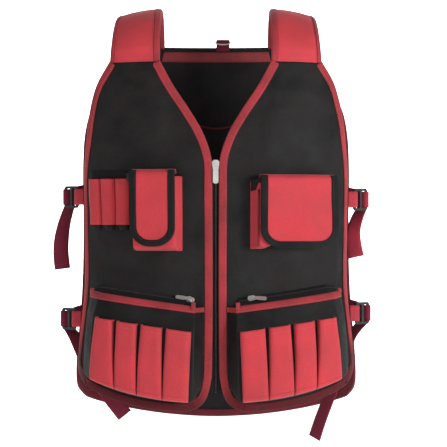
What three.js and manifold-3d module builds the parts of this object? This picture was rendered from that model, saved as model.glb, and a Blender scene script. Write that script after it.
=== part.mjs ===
import * as THREE from "three";
import { mergeVertices } from "three/addons/utils/BufferGeometryUtils.js";
import Module from "manifold-3d";

// Utility work vest in its worn form. Millimetres, +Z up, front towards -Y, wearer's left at +X.
// The origin lies midway between the undersides of the two shoulder straps.
// Places on the vest are pattern coordinates: around, measured along the body's girth from the
// centre line, and down, measured from the origin. Lift is the height off the inside of the cloth.

// Body form
const BACK_LENGTH = 650;
const FRONT_LENGTH = 616;
const HALF_WIDTH = 214;
const FRONT_DEPTH = 120;
const BACK_DEPTH = 108;
const ROUNDNESS = 2.3;
const ARC_STEPS = 240;

// Cloth, edging and clearances
const CLOTH = 2;
const GAP = 0.3;
const EDGING = 1;
const EDGING_WIDTH = 11;
const BEHIND_EDGING = EDGING + 3 * GAP;
const POCKET_CLOTH = 1.6;
const SHORTEST_EDGE = 0.05;

// Front and back panels
const FRONT_TOP = 78;
const BACK_TOP = 40;
const FRONT_HEM_RISE = 46;
const BACK_HEM_RISE = 60;

// Shoulder straps
const NECK_HALF = 93;
const STRAP_THICKNESS = 10;
const STRAP_SLOPE = 13;
const STRAP_CREST_BACK = 12;
const STRAP_ARCH = 0.9;
const STRAP_ROWS = 10;
const STRAP_COLUMNS = [0, 0.07, 0.24, 0.5, 0.76, 0.93, 1];

// Back neck
const NECK_TAPE_WIDTH = 16;
const NECK_TAPE_DROP = 7;
const PIPING = 3;
const YOKE_DOWN = 172;
const YOKE_HALF = 88;
const YOKE_RISE = 46;
const TAB_WIDTH = 22;
const TAB_HEIGHT = 13;
const TAB_SIDE = 12;
const TAB_FOOT = 22;
const RING_WIRE = 2;
const RING_DEPTH = 13;
const RING_TILT = 25;

// Main zip
const ZIP_TOP = 236;
const ZIP_BOTTOM = 588;
const ZIP_HALF = 2.2;
const ZIP_TAPE_WIDTH = 14;
const ZIP_TAPE = 1.1;
const ZIP_RISE = 0.6;
const ZIP_CHAIN = 3.4;
const SLIDER_DOWN = 237;

// Webbing and buckles of the side straps
const WEBBING_WIDTH = 25;
const WEBBING = 1.6;
const BUCKLE_LENGTH = 28;
const BUCKLE_BAR = 4;
const BUCKLE_THICKNESS = 3.5;
const BUCKLE_ANGLE = 36;
const BUCKLE_REACH = 30;
const STRAP_SEAM = 18;
const STRAP_RELEASE = 4;

// Pen loops
const PEN_COUNT = 3;
const PEN_WIDTH = 24.6;
const PEN_START = 131;
const PEN_TOP = 261;
const PEN_HEIGHT = 71;
const PEN_RISE = 11;

// Pockets: around and down of the pouch on the panel, its depth, and its flap
const PHONE = {
  side: -1, inside: 51, width: 75, top: 258, height: 114, depth: 27,
  tuckInside: 10, tuckOutside: 5, flapInside: 60, flapWidth: 63, flapTop: 249, flapHeight: 115,
};
const CHEST = {
  side: 1, inside: 53, width: 126, top: 266, height: 103, depth: 30,
  tuckInside: 14, tuckOutside: 5, flapInside: 66, flapWidth: 110, flapTop: 257, flapHeight: 109,
};
const FLAP_CORNER = 22;
const FLAP_CLEAR = 2.6;
const FLAP_EDGING_WIDTH = 9;

// Lower pouches and their tool slots
const POUCH_INSIDE = 19;
const POUCH_WIDTH = 184;
const POUCH_TOP = 459;
const POUCH_TOP_RISE = 25;
const POUCH_MOUTH = 16;
const POUCH_DEPTH = 30;
const POUCH_CORNER = 28;
const POUCH_HEM_GAP = 13;
const PIPING_TAPE_WIDTH = 9;
const SLOT_COUNT = 4;
const SLOT_TOP = 496;
const SLOT_TOP_RISE = 28;
const SLOT_BOTTOM_GAP = 19;
const SLOT_RISE = 13;
const SLOT_WEDGE = 5;
const SLOT_SEAT = 2;

// Sliders and pull tabs of the zips
const MAIN_SLIDER = { length: 17, width: 11, plate: 2.2, pull: 25, pullWidth: 8.5 };
const POCKET_SLIDER = { length: 13, width: 9, plate: 1.8, pull: 18, pullWidth: 7 };
const PULL_THICKNESS = 1.5;
const RING_INNER = 3.2;
const ARCH_CLEAR = 0.4;
const RING_BAND = 1.5;
const ARCH_OPENING = 4;
const ARCH_WALL = 1.2;
const ARCH_WIDTH = 1.8;
const PULL_CHAMFER = 2;
const RING_SPREAD = 55;
const POCKET_SLIDER_AT = { right: 33, left: 50 };
const POCKET_DROOP = { right: 0, left: -0.3 };

// Body sections as shares: down of the back length, the rest of the half width and depths
const BODY_SECTIONS = [
  { down: 0.046, side: 0.916, front: 0.7, back: 0.778 },
  { down: 0.123, side: 0.958, front: 0.817, back: 0.907 },
  { down: 0.215, side: 0.991, front: 0.917, back: 1 },
  { down: 0.369, side: 1, front: 1, back: 1 },
  { down: 0.523, side: 0.991, front: 1, back: 0.926 },
  { down: 0.677, side: 1, front: 1.017, back: 0.907 },
  { down: 0.831, side: 1.037, front: 1.05, back: 0.963 },
  { down: 0.969, side: 1.056, front: 1.067, back: 1.019 },
];

// Outline of a front: down as a share from strap seam to hem, around as a share of the quarter girth
const FRONT_INNER_EDGE = [
  { down: 0, around: 0.336 },
  { down: 0.073, around: 0.248 },
  { down: 0.143, around: 0.153 },
  { down: 0.212, around: 0.074 },
  { down: 0.283, around: 0.028 },
  { down: 0.36, around: 0.023 },
  { down: 0.885, around: 0.023 },
  { down: 0.935, around: 0.036 },
  { down: 0.97, around: 0.06 },
  { down: 0.99, around: 0.1 },
  { down: 1, around: 0.153 },
];
const FRONT_OUTER_EDGE = [
  { down: 0, around: 0.652 },
  { down: 0.081, around: 0.741 },
  { down: 0.157, around: 0.782 },
  { down: 0.233, around: 0.805 },
  { down: 0.349, around: 0.836 },
  { down: 0.535, around: 0.844 },
  { down: 0.696, around: 0.829 },
  { down: 0.861, around: 0.847 },
  { down: 0.955, around: 0.847 },
  { down: 0.985, around: 0.82 },
  { down: 1, around: 0.752 },
];
const BACK_OUTER_EDGE = [
  { down: 0, around: 0.605 },
  { down: 0.09, around: 0.69 },
  { down: 0.175, around: 0.821 },
  { down: 0.244, around: 0.881 },
  { down: 0.311, around: 0.91 },
  { down: 0.47, around: 0.925 },
  { down: 0.9, around: 0.94 },
  { down: 0.955, around: 0.933 },
  { down: 0.985, around: 0.896 },
  { down: 1, around: 0.813 },
];
const FRONT_ROWS = [0, 0.06, 0.12, 0.18, 0.24, 0.31, 0.42, 0.55, 0.68, 0.8, 0.885, 0.935, 0.97, 0.99, 1];
const BACK_ROWS = [0, 0.06, 0.12, 0.18, 0.24, 0.31, 0.42, 0.54, 0.67, 0.8, 0.9, 0.955, 0.985, 1];
const FRONT_COLUMNS = 8;
const BACK_COLUMNS = 12;

// Flap from its seam over the pouch's mouth and down its face: share along it, share of its height
// and share of its lift off the panel
const FLAP_PATH = [
  { down: 0, drop: 0.045, lift: 0.08 },
  { down: 0.05, drop: 0, lift: 0.3 },
  { down: 0.12, drop: 0, lift: 0.75 },
  { down: 0.18, drop: 0.03, lift: 0.95 },
  { down: 0.24, drop: 0.09, lift: 1 },
  { down: 0.6, drop: 0.54, lift: 1 },
  { down: 1, drop: 1, lift: 1 },
];
const FLAP_PLAIN_ROWS = 3;

// Closed zip of a lower pouch, from the panel out to the mouth's tape: share of the way, height above
// the mouth line, and thickness as a share of the chain's
const POCKET_ZIP_PROFILE = [
  { at: 0, rise: 13, thick: 0.44 }, { at: 0.3, rise: 9.6, thick: 0.44 },
  { at: 0.4, rise: 10.6, thick: 1 }, { at: 0.62, rise: 8.2, thick: 1 },
  { at: 0.72, rise: 4.8, thick: 0.44 }, { at: 1, rise: 1.4, thick: 0.44 },
];

// Bounds of the four tool slots as shares of the pouch width, at their mouths and at their feet
const SLOT_BOUNDS = [
  { mouth: 0.068, foot: 0.1 },
  { mouth: 0.288, foot: 0.294 },
  { mouth: 0.478, foot: 0.484 },
  { mouth: 0.663, foot: 0.65 },
  { mouth: 0.832, foot: 0.853 },
];

// Webbing at the buckle, in mm from its bars: the near loop's start, shift and free end,
// and how the far strap runs in
const LOOP_START = [8, 1];
const LOOP_SHIFT = 1.4;
const LOOP_END = [{ past: 4, high: 2.7 }, { past: 8, high: 0.2 }, { past: 12, high: -1.2 }];
const BACK_APPROACH = [{ before: 2, behind: 22, rise: 0.55 }, { before: 5.4, behind: 9, rise: 0.15 }];

// Side straps: how far down each sits, the length of its free tail, how far the tail turns to face
// sideways, and its route below the buckle as shares of its length: out from the body, back, down
const SIDE_STRAPS = [
  { name: "upper_right", side: -1, down: 288, tail: 108, turn: 1, route: [
    { out: 0.07, back: 0.02, down: 0.21 }, { out: 0.11, back: 0.03, down: 0.39 },
    { out: 0.13, back: 0.02, down: 0.56 }, { out: 0.13, back: 0, down: 0.74 },
    { out: 0.1, back: -0.03, down: 0.98 } ] },
  { name: "upper_left", side: 1, down: 292, tail: 85, turn: 0.9, route: [
    { out: -0.1, back: 0.02, down: 0.22 }, { out: -0.16, back: 0.03, down: 0.45 },
    { out: -0.15, back: 0.03, down: 0.7 }, { out: -0.1, back: 0, down: 0.96 } ] },
  { name: "lower_right", side: -1, down: 481, tail: 179, turn: 0.9, route: [
    { out: -0.07, back: -0.02, down: 0.1 }, { out: -0.17, back: -0.02, down: 0.3 },
    { out: -0.32, back: 0.02, down: 0.55 }, { out: -0.54, back: 0.05, down: 0.84 } ] },
  { name: "lower_left", side: 1, down: 472, tail: 211, turn: 0.2, route: [
    { out: -0.1, back: -0.01, down: 0.12 }, { out: -0.15, back: -0.01, down: 0.28 },
    { out: -0.23, back: 0.02, down: 0.5 }, { out: -0.32, back: 0.05, down: 0.74 },
    { out: -0.38, back: 0.08, down: 0.93 } ] },
];
const BACK_STRAP_RISE = 9;
const TAIL_STEPS = 8;

const RED = 0xb5343c;
const DARK_RED = 0x6e2028;
const BLACK = 0x232122;
const PLASTIC = 0x1b1b1c;
const METAL = 0xb8b8b8;
const CLOTH_ROUGHNESS = 0.8;
const PLASTIC_ROUGHNESS = 0.4;
const METAL_ROUGHNESS = 0.3;

const wasm = await Module();
wasm.setup();

const vest = new THREE.Group();

function add(name, geometry, color, roughness = CLOTH_ROUGHNESS, metalness = 0) {
  geometry.computeVertexNormals();
  const mesh = new THREE.Mesh(geometry, new THREE.MeshStandardMaterial({ color, roughness, metalness }));
  mesh.name = name;
  vest.add(mesh);
}

// A smooth curve through one column of a table against another
function curveOf(table, from, to) {
  const last = table.length - 1;
  const slopeAt = (i) => {
    const before = table[Math.max(i - 1, 0)];
    const after = table[Math.min(i + 1, last)];
    return (after[to] - before[to]) / (after[from] - before[from]);
  };
  return (value) => {
    let i = 0;
    while (i < last - 1 && value > table[i + 1][from]) i += 1;
    const span = table[i + 1][from] - table[i][from];
    const t = THREE.MathUtils.clamp((value - table[i][from]) / span, 0, 1);
    const near = table[i][to] + slopeAt(i) * span * t * (1 - t) * (1 - t);
    const blend = t * t * (3 - 2 * t);
    return near + (table[i + 1][to] - table[i][to]) * blend - slopeAt(i + 1) * span * t * t * (1 - t);
  };
}

// Quarter of the body's girth at its widest, as the angle reached at each length along it
function quarterGirth(depth) {
  const reached = [];
  let length = 0;
  let before = new THREE.Vector2(0, depth);
  for (let step = 0; step <= ARC_STEPS; step += 1) {
    const angle = (step / ARC_STEPS) * (Math.PI / 2);
    const across = HALF_WIDTH * Math.sin(angle) ** (2 / ROUNDNESS);
    const point = new THREE.Vector2(across, depth * Math.cos(angle) ** (2 / ROUNDNESS));
    length += point.distanceTo(before);
    before = point;
    reached.push({ length, angle });
  }
  return reached;
}

const girths = { front: quarterGirth(FRONT_DEPTH), back: quarterGirth(BACK_DEPTH) };
const FRONT_GIRTH = girths.front[ARC_STEPS].length;
const BACK_GIRTH = girths.back[ARC_STEPS].length;
const sideShare = curveOf(BODY_SECTIONS, "down", "side");
const depthShare = {
  front: curveOf(BODY_SECTIONS, "down", "front"),
  back: curveOf(BODY_SECTIONS, "down", "back"),
};

function angleAt(girth, around) {
  let i = 0;
  while (i < girth.length - 2 && girth[i + 1].length < around) i += 1;
  const span = girth[i + 1].length - girth[i].length;
  const share = Math.min((around - girth[i].length) / span, 1);
  return girth[i].angle + share * (girth[i + 1].angle - girth[i].angle);
}

// A point on the body: face is "front" or "back"
function onBody(face, around, down, lift = 0) {
  const share = down / BACK_LENGTH;
  const half = HALF_WIDTH * sideShare(share);
  const depth = (face === "front" ? FRONT_DEPTH : BACK_DEPTH) * depthShare[face](share);
  const angle = angleAt(girths[face], Math.abs(around));
  const sine = Math.sin(angle);
  const cosine = Math.max(Math.cos(angle), 0);
  const slant = new THREE.Vector2(
    sine ** (2 - 2 / ROUNDNESS) / half,
    cosine ** (2 - 2 / ROUNDNESS) / depth,
  ).normalize();
  const across = half * sine ** (2 / ROUNDNESS) + lift * slant.x;
  const out = depth * cosine ** (2 / ROUNDNESS) + lift * slant.y;
  return new THREE.Vector3(Math.sign(around) * across, face === "front" ? -out : out, -down);
}

// Geometry from points and triangles, with its faces turned out
function closedGeometry(points, faces) {
  let volume = 0;
  for (const [a, b, c] of faces) {
    volume += points[a].dot(new THREE.Vector3().crossVectors(points[b], points[c]));
  }
  const index = faces.flatMap(([a, b, c]) => (volume < 0 ? [a, c, b] : [a, b, c]));
  const geometry = new THREE.BufferGeometry();
  const positions = points.flatMap((point) => point.toArray());
  geometry.setAttribute("position", new THREE.Float32BufferAttribute(positions, 3));
  geometry.setIndex(index);
  return geometry;
}

// Closed body through a row of rings of points; a looped one joins its last ring to its first
function loft(rings, looped = false) {
  const around = rings[0].length;
  const faces = [];
  const quad = (a, b, c, d) => faces.push([a, b, c], [a, c, d]);
  const spans = looped ? rings.length : rings.length - 1;
  for (let r = 0; r < spans; r += 1) {
    const here = r * around;
    const there = ((r + 1) % rings.length) * around;
    for (let k = 0; k < around; k += 1) {
      const next = (k + 1) % around;
      quad(here + k, here + next, there + next, there + k);
    }
  }
  const end = (rings.length - 1) * around;
  const caps = looped ? 0 : around / 2 - 1;
  for (let k = 0; k < caps; k += 1) {
    quad(k, around - 1 - k, around - 2 - k, k + 1);
    quad(end + k, end + k + 1, end + around - 2 - k, end + around - 1 - k);
  }
  return closedGeometry(rings.flat(), faces);
}

// Closed body between an outer and an inner skin, each a list of rows of points
function between(outer, inner) {
  return loft(outer.map((row, r) => [...row, ...[...inner[r]].reverse()]));
}

// Round wire or piping along points in a nearly flat run whose normal is given
function wire(points, flatNormal, radius, looped = false) {
  const sides = 6;
  const rings = points.map((point, i) => {
    const after = points[looped ? (i + 1) % points.length : Math.min(i + 1, points.length - 1)];
    const before = points[looped ? (i + points.length - 1) % points.length : Math.max(i - 1, 0)];
    const out = after.clone().sub(before).cross(flatNormal).normalize();
    return Array.from({ length: sides }, (_, k) => {
      const angle = (2 * Math.PI * k) / sides;
      return point.clone()
        .addScaledVector(out, radius * Math.cos(angle))
        .addScaledVector(flatNormal, radius * Math.sin(angle));
    });
  });
  return loft(rings, looped);
}

// Flat webbing through stations, each a point and the direction of its width
function ribbon(stations, width, thickness) {
  const outer = [];
  const inner = [];
  stations.forEach(({ at, wide }, i) => {
    const after = stations[Math.min(i + 1, stations.length - 1)].at;
    const before = stations[Math.max(i - 1, 0)].at;
    const face = after.clone().sub(before).cross(wide).normalize();
    const edge = (sideways, off) => at.clone()
      .addScaledVector(wide, (sideways * width) / 2)
      .addScaledVector(face, (off * thickness) / 2);
    outer.push([edge(1, 1), edge(-1, 1)]);
    inner.push([edge(1, -1), edge(-1, -1)]);
  });
  return between(outer, inner);
}

// Exact cutting and joining of closed bodies
function toSolid(geometry) {
  const bare = geometry.clone();
  bare.deleteAttribute("normal");
  bare.deleteAttribute("uv");
  const merged = mergeVertices(bare, 1e-4);
  return new wasm.Manifold(new wasm.Mesh({
    numProp: 3,
    vertProperties: Float32Array.from(merged.attributes.position.array),
    triVerts: Uint32Array.from(merged.index.array),
  }));
}

function fromSolid(solid) {
  const mesh = solid.getMesh();
  const geometry = new THREE.BufferGeometry();
  geometry.setAttribute("position", new THREE.BufferAttribute(Float32Array.from(mesh.vertProperties), 3));
  geometry.setIndex(new THREE.BufferAttribute(Uint32Array.from(mesh.triVerts), 1));
  return geometry;
}

// What is left of a body, without the crumbs that a cut along a faceted face can leave
function cut(body, tool) {
  const bodies = toSolid(body).subtract(toSolid(tool)).decompose();
  const largest = bodies.reduce((best, next) => (next.volume() > best.volume() ? next : best));
  return fromSolid(largest.setTolerance(SHORTEST_EDGE));
}

const join = (body, other) => fromSolid(toSolid(body).add(toSolid(other)));

// A faceted sheet of cloth. place(down, across) gives its inner face from shares 0 to 1
class Sheet {
  constructor(rows, columns, turn, place) {
    this.rows = rows;
    this.columns = columns;
    this.turn = turn;
    this.place = place;
  }

  normal(down, across) {
    const step = 0.001;
    const along = this.place(down + step, across).sub(this.place(down - step, across));
    const side = this.place(down, across + step).sub(this.place(down, across - step));
    return along.cross(side).normalize().multiplyScalar(this.turn);
  }

  corner(down, across, lift) {
    return this.place(down, across).addScaledVector(this.normal(down, across), lift);
  }

  grid(lift, rows = this.rows, columns = this.columns) {
    return rows.map((down) => columns.map((across) => this.corner(down, across, lift)));
  }

  solid(low, high) {
    return between(this.grid(high), this.grid(low));
  }

  // A point on the flat facets, or on the end facets carried on
  facet(down, across, lift) {
    const cell = (list, value) => {
      let i = 0;
      while (i < list.length - 2 && value > list[i + 1]) i += 1;
      return i;
    };
    const r = cell(this.rows, down);
    const c = cell(this.columns, across);
    const t = (down - this.rows[r]) / (this.rows[r + 1] - this.rows[r]);
    const s = (across - this.columns[c]) / (this.columns[c + 1] - this.columns[c]);
    const mix = (row) => this.corner(this.rows[row], this.columns[c], lift)
      .lerp(this.corner(this.rows[row], this.columns[c + 1], lift), s);
    return mix(r).lerp(mix(r + 1), t);
  }

  // Folded edging round the border: down the first column, along the hem and up the last column
  edging(width, thickness, cloth, firstRow = 0) {
    const last = this.columns.length - 1;
    const rows = this.rows.slice(firstRow);
    const stations = [
      ...rows.map((down) => ({ down, across: this.columns[0] })),
      ...this.columns.slice(1, last).map((across) => ({ down: this.rows.at(-1), across })),
      ...[...rows].reverse().map((down) => ({ down, across: this.columns[last] })),
    ];
    const outer = [];
    const inner = [];
    stations.forEach((station, i) => {
      const { down, across } = station;
      const onSide = across === this.columns[0] || across === this.columns[last];
      const onHem = down === this.rows.at(-1);
      const toward = across === this.columns[0] ? 1 : -1;
      const step = 0.01;
      const here = this.facet(down, across, 0);
      const sideStep = this.facet(down, across + toward * step, 0).sub(here);
      const hemStep = this.facet(down - step, across, 0).sub(here);
      const before = stations[Math.max(i - 1, 0)];
      const after = stations[Math.min(i + 1, stations.length - 1)];
      const run = this.facet(after.down, after.across, 0).sub(this.facet(before.down, before.across, 0));
      const slant = Math.max(run.angleTo(sideStep) > 0 ? Math.sin(run.angleTo(sideStep)) : 1, 0.6);
      const share = (distance) => ({
        across: onSide ? (toward * step * distance) / (sideStep.length() * slant) : 0,
        down: onHem ? (-step * distance) / hemStep.length() : 0,
      });
      const hemLimit = 1 - (step * width) / hemStep.length();
      const at = (distance, lift) => {
        const move = share(distance);
        const reach = down + move.down;
        const limited = distance > 0 && onSide && !onHem ? Math.min(reach, hemLimit) : reach;
        return this.facet(limited, across + move.across, lift);
      };
      const ring = (out, reachOut) => [
        at(width, cloth + out), at(-reachOut, cloth + out), at(-reachOut, -out), at(width, -out),
      ];
      outer.push(ring(GAP + thickness, GAP + thickness));
      inner.push(ring(GAP, GAP));
    });
    return cut(between(outer, inner), this.solid(-GAP / 3, cloth + GAP / 3));
  }
}

// Values at equal steps, both ends included
function evenly(count, from = 0, to = 1) {
  return Array.from({ length: count + 1 }, (_, i) => from + ((to - from) * i) / count);
}


const innerEdge = curveOf(FRONT_INNER_EDGE, "down", "around");
const outerEdge = curveOf(FRONT_OUTER_EDGE, "down", "around");
const backEdge = curveOf(BACK_OUTER_EDGE, "down", "around");
const frontHemStart = FRONT_INNER_EDGE.at(-1).around * FRONT_GIRTH;
const frontHemSpan = outerEdge(0.5) * FRONT_GIRTH - frontHemStart;

function frontHem(around) {
  const share = Math.max(around - frontHemStart, 0) / frontHemSpan;
  return FRONT_LENGTH - FRONT_HEM_RISE * share ** 2;
}

function backHem(around) {
  return BACK_LENGTH - BACK_HEM_RISE * (around / BACK_GIRTH) ** 2;
}

function frontSheet(side) {
  return new Sheet(FRONT_ROWS, evenly(FRONT_COLUMNS), side, (down, across) => {
    const inside = innerEdge(down) * FRONT_GIRTH;
    const around = inside + (outerEdge(down) * FRONT_GIRTH - inside) * across;
    return onBody("front", side * around, FRONT_TOP + down * (frontHem(around) - FRONT_TOP));
  });
}

const backSheet = new Sheet(BACK_ROWS, evenly(BACK_COLUMNS, -1, 1), -1, (down, across) => {
  const around = across * backEdge(down) * BACK_GIRTH;
  return onBody("back", around, BACK_TOP + down * (backHem(around) - BACK_TOP));
});

// Shares of the back sheet for a place given in pattern coordinates
function onBackSheet(around, down) {
  const share = (down - BACK_TOP) / (backHem(around) - BACK_TOP);
  return { down: share, across: around / (backEdge(share) * BACK_GIRTH) };
}

const SIDES = { right: -1, left: 1 };
const frontSheets = { right: frontSheet(SIDES.right), left: frontSheet(SIDES.left) };
const ENVELOPE = 30;
const envelopes = {
  right: frontSheets.right.solid(-ENVELOPE, CLOTH + GAP),
  left: frontSheets.left.solid(-ENVELOPE, CLOTH + GAP),
};

function buildPanels() {
  for (const name of Object.keys(SIDES)) {
    const sheet = frontSheets[name];
    add(`front_panel_${name}`, sheet.solid(0, CLOTH), BLACK);
    add(`front_binding_${name}`, sheet.edging(EDGING_WIDTH, EDGING, CLOTH), RED);
  }
  add("back_panel", backSheet.solid(0, CLOTH), BLACK);
  add("back_binding", backSheet.edging(EDGING_WIDTH, EDGING, CLOTH), DARK_RED);
}

// Padded strap over the shoulder, from the front's top edge to the back's, thin at its edges and ends
function buildStraps() {
  const neckShare = onBackSheet(NECK_HALF, BACK_TOP).across;
  for (const [name, side] of Object.entries(SIDES)) {
    const sheet = new Sheet(evenly(STRAP_ROWS), STRAP_COLUMNS, -side, (along, across) => {
      const share = THREE.MathUtils.clamp(along, 0, 1);
      const front = frontSheets[name].corner(0, across, CLOTH / 2);
      const back = backSheet.corner(0, side * (neckShare + (1 - neckShare) * across), CLOTH / 2);
      const end = share < 0.5 ? front : back;
      const level = Math.abs(Math.cos(share * Math.PI)) ** STRAP_ARCH;
      const rise = Math.sin(share * Math.PI) ** STRAP_ARCH;
      const crest = STRAP_THICKNESS / 2 - STRAP_SLOPE * (across - 0.5);
      return new THREE.Vector3(
        front.x + (back.x - front.x) * share,
        STRAP_CREST_BACK + (end.y - STRAP_CREST_BACK) * level,
        end.z + 2 * GAP + (crest - end.z - 2 * GAP) * rise,
      );
    });
    const swell = (along, across) => {
      const edge = Math.max(Math.sin(Math.PI * across), 0) ** 0.4;
      const end = Math.min(Math.sin(Math.PI * THREE.MathUtils.clamp(along, 0, 1)) * 4, 1);
      return (STRAP_THICKNESS / 2) * Math.max(edge * end, 0.3);
    };
    const skin = (face) => sheet.rows.map((along) => sheet.columns.map((across) => (
      sheet.corner(along, across, face * swell(along, across)))));
    add(`shoulder_strap_${name}`, between(skin(1), skin(-1)), RED);
  }
}

function buildBackNeck() {
  const halfShare = onBackSheet(NECK_HALF, BACK_TOP + NECK_TAPE_DROP).across;
  const inner = backSheet.columns.filter((column) => Math.abs(column) < halfShare - 0.01);
  const columns = [-halfShare, ...inner, halfShare];
  const rows = [NECK_TAPE_DROP, NECK_TAPE_DROP + NECK_TAPE_WIDTH];
  const skin = (lift) => rows.map((drop) => columns.map((across) => (
    backSheet.facet(drop / (BACK_LENGTH - BACK_TOP), across, lift))));
  add("neck_tape", between(skin(-GAP), skin(-GAP - EDGING)), DARK_RED);

  const route = evenly(12, -1, 1).map((share) => {
    const { down, across } = onBackSheet(share * YOKE_HALF, YOKE_DOWN - YOKE_RISE * share ** 2);
    return backSheet.facet(down, across, -GAP - PIPING / 2);
  });
  add("yoke_piping", wire(route, new THREE.Vector3(0, 1, 0), PIPING / 2), DARK_RED);

  const { across } = onBackSheet(TAB_SIDE, BACK_TOP);
  const neck = backSheet.facet(0, across, 0);
  const wide = new THREE.Vector3(1, 0, 0);
  const innerLeg = neck.y - GAP - WEBBING / 2;
  const outerLeg = neck.y + CLOTH + GAP + WEBBING / 2;
  const bend = (outerLeg - innerLeg) / 2;
  const crown = neck.z + TAB_HEIGHT - bend;
  const leg = (y, z) => ({ at: new THREE.Vector3(neck.x, y, z), wide });
  const foot = backSheet.facet(TAB_FOOT / (BACK_LENGTH - BACK_TOP), across, 0);
  const lean = foot.y - neck.y;
  const stations = [
    leg(innerLeg, neck.z - NECK_TAPE_DROP + EDGING),
    ...evenly(6).map((share) => leg(
      innerLeg + bend * (1 - Math.cos(Math.PI * share)),
      crown + bend * Math.sin(Math.PI * share),
    )),
    leg(outerLeg, neck.z + GAP),
    leg(outerLeg + lean, foot.z),
  ];
  add("hang_tab", ribbon(stations, TAB_WIDTH, WEBBING), DARK_RED);

  // Straight bar through the tab, and a bow that tips forward over the neck edge
  const tilt = THREE.MathUtils.degToRad(RING_TILT);
  const half = TAB_WIDTH / 2 + RING_WIRE + GAP;
  const barAt = new THREE.Vector3(neck.x, innerLeg + bend, crown - RING_WIRE / 2);
  const forward = new THREE.Vector3(0, -Math.cos(tilt), -Math.sin(tilt));
  const flat = new THREE.Vector3(0, -Math.sin(tilt), Math.cos(tilt));
  const bow = evenly(12).map((share) => barAt.clone()
    .addScaledVector(wide, -half * Math.cos(Math.PI * share))
    .addScaledVector(forward, RING_DEPTH * Math.sin(Math.PI * share) ** 0.7));
  add("hang_ring", wire(bow, flat, RING_WIRE / 2, true), METAL, METAL_ROUGHNESS, 1);
}

// Sliders and pulls are made flat: x across the zip, y up along it, z off the cloth
function plate(shape, thickness, low) {
  const geometry = new THREE.ExtrudeGeometry(shape, {
    depth: thickness, bevelEnabled: false, curveSegments: 8,
  });
  return geometry.translate(0, 0, low);
}

const ARCH_HEIGHT = Math.SQRT2 * RING_BAND + 2 * ARCH_CLEAR;

function sliderBody(size) {
  const half = size.width / 2;
  const nose = size.width / 4;
  const top = ARCH_OPENING / 2 + ARCH_WALL + 1;
  const outline = new THREE.Shape([
    [nose, top], [half, top - nose], [half, top - 2 * nose], [half * 0.8, top - size.length + nose],
    [nose, top - size.length], [-nose, top - size.length], [-half * 0.8, top - size.length + nose],
    [-half, top - 2 * nose], [-half, top - nose], [-nose, top],
  ].map(([x, y]) => new THREE.Vector2(x, y)));
  const reach = ARCH_OPENING / 2 + ARCH_WALL;
  const arch = new THREE.BoxGeometry(ARCH_WIDTH, 2 * reach, ARCH_HEIGHT + 2 * ARCH_WALL);
  arch.translate(0, 0, size.plate + ARCH_HEIGHT / 2);
  const tunnel = new THREE.BoxGeometry(size.width, ARCH_OPENING, ARCH_HEIGHT);
  tunnel.translate(0, 0, size.plate + ARCH_HEIGHT / 2);
  return join(plate(outline, size.plate, 0), cut(arch, tunnel));
}

function pullTab(size) {
  const outer = RING_INNER + RING_BAND;
  const centre = -RING_INNER - RING_BAND / 2;
  const half = size.pullWidth / 2;
  const end = centre - RING_INNER - size.pull;
  const spread = THREE.MathUtils.degToRad(RING_SPREAD);
  const shape = new THREE.Shape();
  shape.absarc(0, centre, outer, -spread, Math.PI + spread, false);
  shape.lineTo(-half, centre - 2 * outer);
  shape.lineTo(-half, end + PULL_CHAMFER);
  shape.lineTo(-half + PULL_CHAMFER, end);
  shape.lineTo(half - PULL_CHAMFER, end);
  shape.lineTo(half, end + PULL_CHAMFER);
  shape.lineTo(half, centre - 2 * outer);
  const eye = new THREE.Path();
  eye.absarc(0, centre, RING_INNER, 0, 2 * Math.PI, true);
  shape.holes.push(eye);
  return plate(shape, PULL_THICKNESS, -PULL_THICKNESS / 2);
}

// Puts a slider and its pull on a zip. droop turns the pull sideways in its own plane
function placeSlider(names, size, at, up, out, droop) {
  const across = up.clone().cross(out).normalize();
  const off = across.clone().cross(up).normalize();
  const frame = new THREE.Matrix4().makeBasis(across, up, off).setPosition(at);
  add(names.slider, sliderBody(size).applyMatrix4(frame), METAL, METAL_ROUGHNESS, 1);
  const hinge = new THREE.Matrix4().makeTranslation(0, 0, size.plate + ARCH_HEIGHT / 2);
  const turn = new THREE.Matrix4().makeRotationZ(droop);
  const pull = pullTab(size).applyMatrix4(turn).applyMatrix4(hinge).applyMatrix4(frame);
  add(names.pull, pull, METAL, METAL_ROUGHNESS, 1);
}

function buildMainZip() {
  const rows = evenly(9, ZIP_TOP, ZIP_BOTTOM);
  const strip = (from, to, lift) => rows.map((down) => (
    [onBody("front", from, down, lift), onBody("front", to, down, lift)]));
  const under = -BEHIND_EDGING;
  for (const [name, side] of Object.entries(SIDES)) {
    const from = side * (ZIP_HALF + GAP);
    const to = side * (ZIP_HALF + GAP + ZIP_TAPE_WIDTH);
    const tape = between(strip(from, to, under), strip(from, to, under - ZIP_TAPE));
    add(`main_zip_tape_${name}`, tape, BLACK);
  }
  const chain = between(strip(-ZIP_HALF, ZIP_HALF, ZIP_RISE), strip(-ZIP_HALF, ZIP_HALF, under - ZIP_TAPE));
  add("main_zip_chain", chain, BLACK);
  const at = onBody("front", 0, SLIDER_DOWN, ZIP_RISE + GAP);
  const up = onBody("front", 0, SLIDER_DOWN - 5).sub(onBody("front", 0, SLIDER_DOWN + 5)).normalize();
  const names = { slider: "main_zip_slider", pull: "main_zip_pull" };
  placeSlider(names, MAIN_SLIDER, at, up, new THREE.Vector3(0, -1, 0), 0);
}

// Cloth shell that stands on a surface and is open where its edge rows have a rise.
// rows: place and rise of each row. columns: share across and rise. spot places a point.
function shell(rows, columns, thickness, spot) {
  const skin = (inset) => rows.map((row) => columns.map((column) => (
    spot(row, column.at, inset, row.rise * column.rise))));
  return between(skin(0), skin(thickness));
}

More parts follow.
